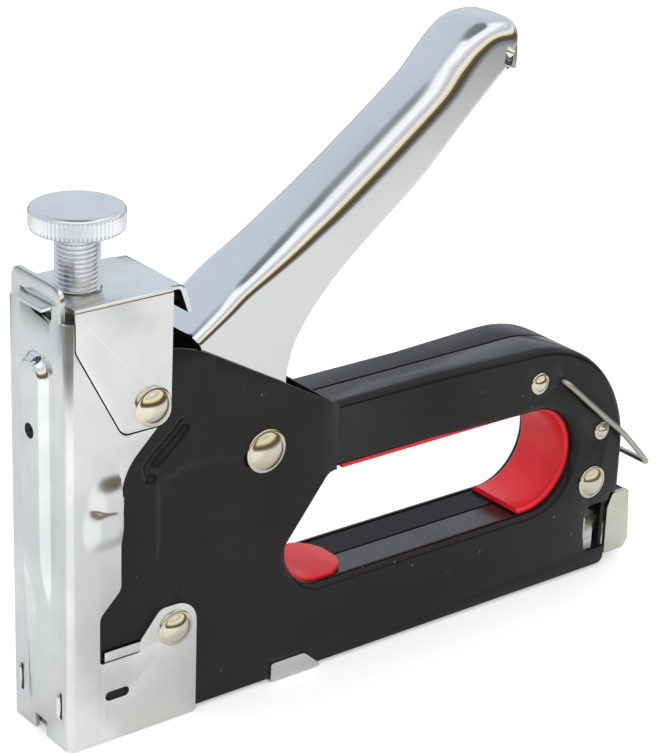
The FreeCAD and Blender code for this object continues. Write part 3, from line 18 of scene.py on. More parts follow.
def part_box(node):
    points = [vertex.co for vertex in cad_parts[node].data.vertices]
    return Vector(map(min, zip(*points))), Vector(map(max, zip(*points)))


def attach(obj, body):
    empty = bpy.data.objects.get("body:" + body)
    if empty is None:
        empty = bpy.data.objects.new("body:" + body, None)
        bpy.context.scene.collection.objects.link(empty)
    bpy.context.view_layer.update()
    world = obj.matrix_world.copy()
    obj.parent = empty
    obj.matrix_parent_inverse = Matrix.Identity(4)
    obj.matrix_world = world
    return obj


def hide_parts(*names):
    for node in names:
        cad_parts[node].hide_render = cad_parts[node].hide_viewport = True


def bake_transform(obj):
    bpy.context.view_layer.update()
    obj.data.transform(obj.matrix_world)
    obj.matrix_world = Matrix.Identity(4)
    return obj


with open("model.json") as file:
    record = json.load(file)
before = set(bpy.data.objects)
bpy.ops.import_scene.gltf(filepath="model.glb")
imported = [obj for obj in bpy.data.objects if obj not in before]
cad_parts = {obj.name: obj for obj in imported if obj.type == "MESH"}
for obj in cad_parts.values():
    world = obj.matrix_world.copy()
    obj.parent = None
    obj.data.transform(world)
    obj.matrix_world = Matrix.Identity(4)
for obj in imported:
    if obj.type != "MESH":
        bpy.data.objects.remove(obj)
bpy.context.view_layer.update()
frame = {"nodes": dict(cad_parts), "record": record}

log = logging.getLogger("staple_tacker")

MM = 0.001
Colour = tuple[float, float, float]
Place = tuple[float, float, float]
Flat = tuple[float, float]


class Body(Enum):
    """The moving bodies that pieces ride on."""

    FRAME = "frame"
    LEVER = "lever"
    DRIVER = "driver"
    SEAT = "seat"
    SCREW = "screw"
    WIRE = "wire"
    RAIL = "rail"
    PUSHER = "pusher"


class Slot(Enum):
    """The record's finishes."""

    BRIGHT_ZINC = "bright_zinc"
    CHROME_LEVER = "chrome_lever"
    BLACK_LACQUER = "black_lacquer"
    RED_RUBBER = "red_rubber"
    BLACK_RUBBER = "black_rubber"
    NICKEL_RIVET = "nickel_rivet"
    KNURLED_STEEL = "knurled_steel"
    SPRING_WIRE = "spring_wire"
    ZINC_CATCH = "zinc_catch"
    PLAIN_STEEL = "plain_steel"
    HARD_STEEL = "hard_steel"


class Bench:
    """Modelling steps as they are done by hand, each on a piece that is selected alone."""

    @staticmethod
    def clear() -> None:
        """Leaves edit mode and selects nothing."""
        if bpy.context.object and bpy.context.object.mode != "OBJECT":
            bpy.ops.object.mode_set(mode="OBJECT")
        bpy.ops.object.select_all(action="DESELECT")

    @staticmethod
    def take(piece: bpy.types.Object) -> None:
        """Selects one piece alone and makes it active.

        Args:
            piece: the object to work on.
        """
        Bench.clear()
        piece.select_set(True)
        bpy.context.view_layer.objects.active = piece

    @staticmethod
    def edit(piece: bpy.types.Object, kind: str = "VERT") -> None:
        """Enters edit mode on one piece with nothing selected.

        Args:
            piece: the object to edit.
            kind: VERT, EDGE or FACE.
        """
        Bench.take(piece)
        bpy.ops.object.mode_set(mode="EDIT")
        bpy.ops.mesh.select_mode(type=kind)
        bpy.ops.mesh.select_all(action="DESELECT")

    @staticmethod
    def pick(piece: bpy.types.Object, test: Callable[[Vector], bool]) -> int:
        """Selects the points of the edited piece that pass a test on their place in millimetres.

        Args:
            piece: the object in edit mode.
            test: tells whether a point is wanted.

        Returns:
            How many points are selected.
        """
        mesh = bmesh.from_edit_mesh(piece.data)
        for point in mesh.verts:
            point.select_set(test(point.co / MM))
        mesh.select_flush_mode()
        bmesh.update_edit_mesh(piece.data)
        return sum(point.select for point in mesh.verts)

    @staticmethod
    def pick_edges(piece: bpy.types.Object, test: Callable[[Vector, Vector], bool]) -> int:
        """Selects the edges of the edited piece whose two ends, in millimetres, pass a test.

        Args:
            piece: the object in edit mode.
            test: tells whether an edge is wanted.

        Returns:
            How many edges are selected.
        """
        mesh = bmesh.from_edit_mesh(piece.data)
        bpy.ops.mesh.select_all(action="DESELECT")
        picked = [edge for edge in mesh.edges if test(edge.verts[0].co / MM, edge.verts[1].co / MM)]
        for edge in picked:
            edge.select_set(True)
        bmesh.update_edit_mesh(piece.data)
        return len(picked)

    @staticmethod
    def name(piece: bpy.types.Object, name: str) -> bpy.types.Object:
        """Names a piece and its mesh.

        Args:
            piece: the object to name.
            name: its name in plain words.

        Returns:
            The piece.
        """
        piece.name = name
        piece.data.name = name
        return piece

    @staticmethod
    def trace(name: str, points: Iterable[Place], closed: bool = False) -> bpy.types.Object:
        """Draws a line of straight runs by extruding one point from place to place.

        Args:
            name: the piece's name.
            points: places in millimetres.
            closed: joins the last point to the first and fills the outline.

        Returns:
            The new object.
        """
        places = [Vector(point) * MM for point in points]
        Bench.clear()
        bpy.ops.mesh.primitive_plane_add(size=MM, location=(0, 0, 0))
        piece = Bench.name(bpy.context.object, name)
        bpy.ops.object.mode_set(mode="EDIT")
        bpy.ops.mesh.select_mode(type="VERT")
        bpy.ops.mesh.select_all(action="SELECT")
        bpy.ops.mesh.merge(type="CENTER")
        bpy.ops.transform.translate(value=places[0])
        for before, after in zip(places, places[1:]):
            bpy.ops.mesh.extrude_region_move(TRANSFORM_OT_translate={"value": after - before})
        bpy.ops.mesh.select_all(action="SELECT")
        if closed:
            bpy.ops.mesh.edge_face_add()
        bpy.ops.object.mode_set(mode="OBJECT")
        return piece

    @staticmethod
    def tidy(piece: bpy.types.Object, merge: float = 0.002) -> None:
        """Merges doubled points and turns every face outwards.

        Args:
            piece: the object to tidy.
            merge: how near two points are one, in millimetres.
        """
        Bench.edit(piece)
        bpy.ops.mesh.select_all(action="SELECT")
        bpy.ops.mesh.remove_doubles(threshold=merge * MM)
        bpy.ops.mesh.normals_make_consistent(inside=False)
        bpy.ops.object.mode_set(mode="OBJECT")

    @staticmethod
    def apply(piece: bpy.types.Object) -> None:
        """Applies every modifier of a piece in order."""
        Bench.take(piece)
        for modifier in list(piece.modifiers):
            bpy.ops.object.modifier_apply(modifier=modifier.name)

    @staticmethod
    def settle(piece: bpy.types.Object, angle: float = 35.0) -> bpy.types.Object:
        """Puts the piece's place into its mesh and shades it smooth below an angle.

        Args:
            piece: the finished object.
            angle: edges sharper than this stay crisp, in degrees.

        Returns:
            The piece.
        """
        Bench.apply(piece)
        bpy.ops.object.transform_apply(location=True, rotation=True, scale=True)
        bpy.ops.object.shade_smooth_by_angle(angle=math.radians(angle))
        return piece

    @staticmethod
    def bevel(piece: bpy.types.Object, width: float, segments: int = 2, angle: float = 32.0) -> None:
        """Adds a bevel to every edge sharper than an angle.

        Args:
            piece: the object.
            width: the bevel's width in millimetres.
            segments: steps across the bevel.
            angle: the least angle in degrees.
        """
        modifier = piece.modifiers.new("soft_edges", "BEVEL")
        modifier.width = width * MM
        modifier.segments = segments
        modifier.limit_method = "ANGLE"
        modifier.angle_limit = math.radians(angle)
        modifier.use_clamp_overlap = True
        modifier.miter_outer = "MITER_ARC"

    @staticmethod
    def block(low: Place, high: Place) -> bpy.types.Object:
        """Makes a box between two corners in millimetres, as a tool for cuts and joins."""
        Bench.clear()
        bpy.ops.mesh.primitive_cube_add(size=1)
        box = bpy.context.object
        box.scale = [(end - start) * MM for start, end in zip(low, high)]
        box.location = [(end + start) / 2 * MM for start, end in zip(low, high)]
        bpy.ops.object.transform_apply(location=True, rotation=True, scale=True)
        return box

    @staticmethod
    def bar(radius: float, depth: float, middle: Place, axis: str) -> bpy.types.Object:
        """Makes a round bar along X or Y, as a tool for cuts.

        Args:
            radius: its radius in millimetres.
            depth: its length.
            middle: its middle.
            axis: X or Y.

        Returns:
            The bar.
        """
        Bench.clear()
        turn = (0, math.pi / 2, 0) if axis == "X" else (math.pi / 2, 0, 0)
        bpy.ops.mesh.primitive_cylinder_add(vertices=48, radius=radius * MM, depth=depth * MM, rotation=turn,
                                            location=[value * MM for value in middle])
        return bpy.context.object

    @staticmethod
    def cut(piece: bpy.types.Object, tool: bpy.types.Object, operation: str = "DIFFERENCE") -> None:
        """Cuts one piece with another, which is then removed.

        Args:
            piece: the object that is cut.
            tool: the cutting shape.
            operation: DIFFERENCE, or UNION to join the tool instead.
        """
        modifier = piece.modifiers.new("cut", "BOOLEAN")
        modifier.operation = operation
        modifier.solver = "EXACT"
        modifier.object = tool
        Bench.apply(piece)
        bpy.data.objects.remove(tool, do_unlink=True)

    @staticmethod
    def relief(piece: bpy.types.Object, across: int, level: float, box: tuple[Flat, Flat], step: float,
               height: Callable[[float, float], float]) -> None:
        """Divides a flat face finely inside a box and presses a smooth relief into it.

        Args:
            piece: the object.
            across: the axis that the face is square to, 0 for X and 1 for Y.
            level: the face's place on that axis, in millimetres.
            box: ranges on the two other axes.
            step: distance between the dividing lines.
            height: how far a place rises outwards.
        """
        Bench.clear()
        mesh = bmesh.new()
        mesh.from_mesh(piece.data)
        sign = math.copysign(1, level)
        first, second = (axis for axis in range(3) if axis != across)

        def flat(face: bmesh.types.BMFace, axis: int, place: float) -> bool:
            if face.normal[across] * sign < 0.999:
                return False
            centre = face.calc_center_median() / MM
            if abs(centre[across] - level) > 0.01:
                return False
            if axis == second and not box[0][0] - step < centre[first] < box[0][1] + step:
                return False
            reach = [point.co[axis] / MM for point in face.verts]
            return min(reach) < place < max(reach)

        for axis, (low, high) in zip((first, second), box):
            normal = Vector([1.0 if index == axis else 0.0 for index in range(3)])
            count = round((high - low) / step)
            for index in range(count + 1):
                place = low + (high - low) * index / count
                faces = [face for face in mesh.faces if flat(face, axis, place)]
                edges = list(dict.fromkeys(edge for face in faces for edge in face.edges))
                points = list(dict.fromkeys(point for face in faces for point in face.verts))
                bmesh.ops.bisect_plane(mesh, geom=points + edges + faces, dist=1e-7,
                                       plane_co=normal * place * MM, plane_no=normal)
        (low_u, high_u), (low_v, high_v) = box
        for point in mesh.verts:
            u, v = point.co[first] / MM, point.co[second] / MM
            inside = low_u < u < high_u and low_v < v < high_v
            if inside and abs(point.co[across] / MM - level) < 0.01:
                point.co[across] += sign * height(u, v) * MM
        mesh.to_mesh(piece.data)
        mesh.free()

    @staticmethod
    def copy_node(node: str, name: str) -> bpy.types.Object:
        """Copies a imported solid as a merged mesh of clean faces.

        Args:
            node: the solid's name.
            name: the new piece's name.

        Returns:
            The new object.
        """
        source = frame["nodes"][node]
        piece = bpy.data.objects.new(name, source.data.copy())
        piece.data.name = name
        bpy.context.scene.collection.objects.link(piece)
        piece.data.materials.clear()
        Bench.edit(piece)
        bpy.ops.mesh.select_all(action="SELECT")
        if piece.data.has_custom_normals:
            bpy.ops.mesh.customdata_custom_splitnormals_clear()
        bpy.ops.mesh.remove_doubles(threshold=0.0005 * MM)
        bpy.ops.mesh.dissolve_limited(angle_limit=math.radians(0.4))
        bpy.ops.mesh.normals_make_consistent(inside=False)
        bpy.ops.object.mode_set(mode="OBJECT")
        return piece


class NodeBoard:
    """A short way to lay out shader nodes."""

    def __init__(self, tree: bpy.types.NodeTree) -> None:
        """Starts on a node tree.

        Args:
            tree: the material's or group's tree.
        """
        self.tree = tree
        self.count = 0

    def add(self, kind: str, **settings: object) -> bpy.types.Node:
        """Adds a node and sets its attributes.

        Args:
            kind: the node's type without its ShaderNode prefix.
            **settings: attributes of the node.

        Returns:
            The node.
        """
        node = self.tree.nodes.new("ShaderNode" + kind if not kind.startswith("Node") else kind)
        node.location = (180 * (self.count % 8), -220 * (self.count // 8))
        self.count += 1
        for key, value in settings.items():
            setattr(node, key, value)
        return node

    def set(self, node: bpy.types.Node, **values: object) -> bpy.types.Node:
        """Sets input sockets; an underscore in a key stands for a space.

        Args:
            node: the node.
            **values: socket name to value.

        Returns:
            The node.
        """
        for key, value in values.items():
            node.inputs[key.replace("_", " ")].default_value = value
        return node

    def join(self, source: bpy.types.NodeSocket, target: bpy.types.NodeSocket) -> None:
        """Links an output to an input."""
        self.tree.links.new(source, target)

    def noise(self, vector: bpy.types.NodeSocket, scale: float, detail: float = 3.0,
              roughness: float = 0.5, stretch: Place = (1, 1, 1)) -> bpy.types.NodeSocket:
        """Adds a noise texture on a stretched place.

        Args:
            vector: the place.
            scale: how fine the noise is, per metre.
            detail: octaves.
            roughness: how strong the fine octaves are.
            stretch: factors along x, y and z.

        Returns:
            The noise's value socket.
        """
        mapping = self.add("Mapping")
        mapping.inputs["Scale"].default_value = stretch
        self.join(vector, mapping.inputs["Vector"])
        noise = self.set(self.add("TexNoise"), Scale=scale, Detail=detail, Roughness=roughness)
        self.join(mapping.outputs["Vector"], noise.inputs["Vector"])
        return noise.outputs["Fac"]

    def ramp(self, value: bpy.types.NodeSocket, low: float, high: float,
             to_low: float = 0.0, to_high: float = 1.0) -> bpy.types.NodeSocket:
        """Maps a range of a value onto another, clamped.

        Args:
            value: the value.
            low: start of its range.
            high: end of its range.
            to_low: what the start becomes.
            to_high: what the end becomes.

        Returns:
            The mapped value's socket.
        """
        node = self.add("MapRange", interpolation_type="SMOOTHSTEP")
        self.set(node, From_Min=low, From_Max=high, To_Min=to_low, To_Max=to_high)
        self.join(value, node.inputs["Value"])
        return node.outputs["Result"]

    def maths(self, operation: str, first: object, second: object = None) -> bpy.types.NodeSocket:
        """Adds a math node on sockets or numbers.

        Args:
            operation: such as MULTIPLY.
            first: a socket or a number.
            second: a socket or a number.

        Returns:
            The result's socket.
        """
        node = self.add("Math", operation=operation)
        for index, item in enumerate((first, second)):
            if isinstance(item, bpy.types.NodeSocket):
                self.join(item, node.inputs[index])
            elif item is not None:
                node.inputs[index].default_value = item
        return node.outputs[0]

    def blend(self, amount: bpy.types.NodeSocket, low: Colour, high: Colour) -> bpy.types.NodeSocket:
        """Mixes two colours by a value.

        Args:
            amount: the share of the second colour.
            low: the first colour.
            high: the second colour.

        Returns:
            The colour's socket.
        """
        node = self.add("Mix", data_type="RGBA")
        node.inputs[6].default_value = (*low, 1)
        node.inputs[7].default_value = (*high, 1)
        self.join(amount, node.inputs["Factor"])
        return node.outputs[2]


class Effects:
    """Surface effects that more than one finish uses, each a node group that is built once."""

    made: dict[str, bpy.types.NodeTree] = {}

    @classmethod
    def group(cls, name: str, inputs: dict[str, float], outputs: dict[str, str],
              draw: Callable[[NodeBoard, bpy.types.Node, bpy.types.Node, bpy.types.NodeSocket], None]
              ) -> bpy.types.NodeTree:
        """Builds a node group on Object coordinates, or returns it if it is there.

        Args:
            name: the group's name.
            inputs: input names with their default numbers.
            outputs: output names with their socket types.
            draw: lays out the nodes between the group's input and output.

        Returns:
            The node group.
        """
        if name in cls.made:
            return cls.made[name]
        tree = bpy.data.node_groups.new(name, "ShaderNodeTree")
        for key, value in inputs.items():
            tree.interface.new_socket(key, in_out="INPUT", socket_type="NodeSocketFloat").default_value = value
        for key, kind in outputs.items():
            tree.interface.new_socket(key, in_out="OUTPUT", socket_type=kind)
        board = NodeBoard(tree)
        start = board.add("NodeGroupInput")
        end = board.add("NodeGroupOutput")
        place = board.add("TexCoord").outputs["Object"]
        draw(board, start, end, place)
        cls.made[name] = tree
        return tree

    @classmethod
    def clouds(cls) -> bpy.types.NodeTree:
        """Soft cloudy patches, as in plating: a mask from 0 to 1."""

        def draw(board: NodeBoard, start: bpy.types.Node, end: bpy.types.Node,
                 place: bpy.types.NodeSocket) -> None:
            wide = board.noise(place, 28, 2, 0.5)
            fine = board.noise(place, 160, 4, 0.6)
            mixed = board.maths("ADD", board.maths("MULTIPLY", wide, 0.75), board.maths("MULTIPLY", fine, 0.25))
            board.join(board.ramp(mixed, 0.38, 0.62), end.inputs["Mask"])

        return cls.group("cloudy_patches", {}, {"Mask": "NodeSocketFloat"}, draw)

    @classmethod
    def scratches(cls) -> bpy.types.NodeTree:
        """Fine straight handling marks in two directions: a mask from 0 to 1."""

        def draw(board: NodeBoard, start: bpy.types.Node, end: bpy.types.Node,
                 place: bpy.types.NodeSocket) -> None:
            lengthwise = board.ramp(board.noise(place, 420, 2, 0.6, (0.06, 1, 1.6)), 0.66, 0.74)
            upright = board.ramp(board.noise(place, 380, 2, 0.6, (1.5, 1, 0.05)), 0.67, 0.75)
            where = board.ramp(board.noise(place, 45, 2), 0.45, 0.65)
            both = board.maths("MAXIMUM", lengthwise, upright)
            board.join(board.maths("MULTIPLY", both, where), end.inputs["Mask"])

        return cls.group("fine_scratches", {}, {"Mask": "NodeSocketFloat"}, draw)

    @classmethod
    def orange_peel(cls) -> bpy.types.NodeTree:
        """The gentle waviness of sprayed lacquer and of pressed plated sheet: a height."""

        def draw(board: NodeBoard, start: bpy.types.Node, end: bpy.types.Node,
                 place: bpy.types.NodeSocket) -> None:
            wave = board.noise(place, 260, 2, 0.45)
            swell = board.noise(place, 60, 1, 0.4)
            height = board.maths("ADD", board.maths("MULTIPLY", wave, 0.35), swell)
            board.join(height, end.inputs["Height"])

        return cls.group("orange_peel", {}, {"Height": "NodeSocketFloat"}, draw)

    @classmethod
    def specks(cls) -> bpy.types.NodeTree:
        """Sparse dust and pin-prick specks: a mask from 0 to 1."""

        def draw(board: NodeBoard, start: bpy.types.Node, end: bpy.types.Node,
                 place: bpy.types.NodeSocket) -> None:
            cells = board.set(board.add("TexVoronoi", feature="F1"), Scale=330.0, Randomness=1.0)
            board.join(place, cells.inputs["Vector"])
            near = board.ramp(cells.outputs["Distance"], 0.05, 0.11, 1, 0)
            chosen = board.ramp(board.noise(place, 230, 1), 0.62, 0.66)
            board.join(board.maths("MULTIPLY", near, chosen), end.inputs["Mask"])

        return cls.group("dust_specks", {}, {"Mask": "NodeSocketFloat"}, draw)


@dataclass(frozen=True)
class Finish:
    """A surface finish: two tones that mix in cloudy patches, its gloss, and its relief.

    Attributes:
        name: the material's name.
        light: the brighter tone.
        dark: the duller tone.
        metallic: 1 for bare or plated metal.
        gloss: roughness of the shiny and of the dull patches.
        peel: depth of the orange peel, in millimetres.
        scratch: how much rougher a scratch is.
        coat: weight of the clear coat.
        specks: how much the dust specks show.
        grain: stretch of a drawn or brushed grain along x, y and z, or nothing.
        specular: level of the plain reflection on what isn't metal.
    """

    name: str
    light: Colour
    dark: Colour
    metallic: float = 1.0
    gloss: Flat = (0.12, 0.22)
    peel: float = 0.01
    scratch: float = 0.1
    coat: float = 0.0
    specks: float = 0.0
    grain: Place | None = None
    specular: float = 0.5

    def build(self) -> bpy.types.Material:
        """Makes the material.

        Returns:
            The material with its nodes.
        """
        material = bpy.data.materials.new(self.name)
        material.use_nodes = True
        board = NodeBoard(material.node_tree)
        material.node_tree.nodes.clear()
        shader = board.add("BsdfPrincipled")
        output = board.add("OutputMaterial")
        board.join(shader.outputs["BSDF"], output.inputs["Surface"])
        board.set(shader, Metallic=self.metallic, Coat_Weight=self.coat, Coat_Roughness=0.06,
                  Specular_IOR_Level=self.specular)
        clouds = board.add("Group", node_tree=Effects.clouds()).outputs["Mask"]
        scratches = board.add("Group", node_tree=Effects.scratches()).outputs["Mask"]
        tone = board.blend(clouds, self.dark, self.light)
        if self.specks:
            specks = board.add("Group", node_tree=Effects.specks()).outputs["Mask"]
            mix = board.add("Mix", data_type="RGBA")
            mix.inputs[7].default_value = (0.55, 0.53, 0.5, 1)
            board.join(board.maths("MULTIPLY", specks, self.specks), mix.inputs["Factor"])
            board.join(tone, mix.inputs[6])
            tone = mix.outputs[2]
        board.join(tone, shader.inputs["Base Color"])
        rough = board.ramp(clouds, 0, 1, self.gloss[1], self.gloss[0])
        worn = board.maths("MULTIPLY", scratches, self.scratch)
        board.join(board.maths("ADD", rough, worn), shader.inputs["Roughness"])
        self.relief(board, shader)
        return material

    def relief(self, board: NodeBoard, shader: bpy.types.Node) -> None:
        """Adds the small heights of the surface to the shader's normal.

        Args:
            board: the material's node board.
            shader: the surface shader.
        """
        height = board.add("Group", node_tree=Effects.orange_peel()).outputs["Height"]
        bump = board.set(board.add("Bump"), Strength=1.0, Distance=self.peel * MM)
        board.join(height, bump.inputs["Height"])
        last = bump
        if self.grain:
            place = board.add("TexCoord").outputs["Object"]
            lines = board.noise(place, 900, 2, 0.6, self.grain)
            last = board.set(board.add("Bump"), Strength=0.5, Distance=0.01 * MM)
            board.join(lines, last.inputs["Height"])
            board.join(bump.outputs["Normal"], last.inputs["Normal"])
        board.join(last.outputs["Normal"], shader.inputs["Normal"])


FINISHES: dict[Slot, Finish] = {
    Slot.BRIGHT_ZINC: Finish("bright_zinc", (0.92, 0.925, 0.92), (0.78, 0.80, 0.80), 1.0, (0.13, 0.24), 0.008,
                             0.12),
    Slot.CHROME_LEVER: Finish("chrome_lever", (0.84, 0.85, 0.87), (0.80, 0.81, 0.82), 1.0, (0.05, 0.09), 0.002,
                              0.08),
    Slot.BLACK_LACQUER: Finish("black_lacquer", (0.012, 0.011, 0.012), (0.008, 0.007, 0.008), 0.0, (0.16, 0.26),
                               0.012, 0.05, 0.0, 0.25, specular=0.27),
    Slot.RED_RUBBER: Finish("red_rubber", (0.86, 0.020, 0.030), (0.70, 0.010, 0.020), 0.0, (0.30, 0.42), 0.02, 0.04),
    Slot.BLACK_RUBBER: Finish("black_rubber", (0.03, 0.03, 0.03), (0.02, 0.02, 0.02), 0.0, (0.6, 0.75), 0.02, 0.0),
    Slot.NICKEL_RIVET: Finish("nickel_rivet", (0.84, 0.79, 0.66), (0.76, 0.71, 0.58), 1.0, (0.10, 0.17), 0.003, 0.1),
    Slot.KNURLED_STEEL: Finish("knurled_steel", (0.86, 0.875, 0.90), (0.78, 0.79, 0.81), 1.0, (0.16, 0.26), 0.004,
                               0.08),
    Slot.SPRING_WIRE: Finish("spring_wire", (0.66, 0.63, 0.57), (0.50, 0.48, 0.43), 1.0, (0.24, 0.36), 0.004, 0.1,
                             grain=(0.3, 1, 0.3)),
    Slot.ZINC_CATCH: Finish("zinc_catch", (0.80, 0.78, 0.67), (0.70, 0.68, 0.57), 1.0, (0.20, 0.30), 0.006, 0.1,
                            grain=(1, 1, 0.08)),
    Slot.PLAIN_STEEL: Finish("plain_steel", (0.86, 0.85, 0.83), (0.76, 0.75, 0.73), 1.0, (0.22, 0.34), 0.006, 0.12,
                             grain=(0.08, 1, 1)),
    Slot.HARD_STEEL: Finish("hard_steel", (0.42, 0.42, 0.44), (0.30, 0.30, 0.32), 1.0, (0.28, 0.42), 0.006, 0.12,
                            grain=(1, 1, 0.08)),
}


class Paint:
    """The finishes' materials, each built once."""

    made: dict[Slot, bpy.types.Material] = {}

    @classmethod
    def get(cls, slot: Slot) -> bpy.types.Material:
        """Returns a slot's material."""
        if slot not in cls.made:
            cls.made[slot] = FINISHES[slot].build()
        return cls.made[slot]

    @classmethod
    def dress_nodes(cls) -> None:
        """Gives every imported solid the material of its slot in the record."""
        for part in frame["record"]["subparts"]:
            node = frame["nodes"][part["node"]]
            node.data.materials.clear()
            node.data.materials.append(cls.get(Slot(part["material_slot"])))


def place_piece(piece: bpy.types.Object, body: Body, slot: Slot, *nodes: str) -> bpy.types.Object:
    """Paints a finished piece, lets it ride on a body and hides the solids that it stands for.

    Args:
        piece: the finished object.
        body: the body that it moves with.
        slot: its finish.
        *nodes: the solids that it replaces.

    Returns:
        The piece.
    """
    piece.data.materials.clear()
    piece.data.materials.append(Paint.get(slot))
    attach(piece, body.value)
    if nodes:
        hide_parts(*nodes)
    log.info("%s: %d faces", piece.name, len(piece.data.polygons))
    return piece


def ease(value: float) -> float:
    """Bends a share from 0 to 1 into a soft step, clamped outside."""
    share = min(max(value, 0.0), 1.0)
    return share * share * (3 - 2 * share)


def far_from(u: float, v: float, line: tuple[Flat, ...]) -> float:
    """Measures how far a flat place lies from a line of straight runs."""
    best = math.inf
    for (u0, v0), (u1, v1) in zip(line, line[1:]):
        du, dv = u1 - u0, v1 - v0
        share = min(max(((u - u0) * du + (v - v0) * dv) / (du * du + dv * dv), 0.0), 1.0)
        best = min(best, math.hypot(u - u0 - du * share, v - v0 - dv * share))
    return best


@dataclass
class SheetMetal:
    """The pressed sheet pieces, whose cut edges are broken by a small bevel.

    Attributes:
        edge: width of the broken edge on bright sheet.
        paint_edge: width of the rounded edge under lacquer; not used.
        fine_edge: width on small pieces.
    """

    edge: float = 0.14
    paint_edge: float = 0.3
    fine_edge: float = 0.08

    def build(self) -> None:
        """Makes the plainer sheet pieces."""
        for node, body, slot, width in (
                ("magazine_channel", Body.FRAME, Slot.PLAIN_STEEL, self.fine_edge),
                ("magazine_catch", Body.RAIL, Slot.ZINC_CATCH, self.edge),
                ("feed_rail", Body.RAIL, Slot.PLAIN_STEEL, self.fine_edge)):
            piece = Bench.copy_node(node, node + "_sheet")
            Bench.bevel(piece, width)
            Bench.settle(piece, 30)
            place_piece(piece, body, slot, node)


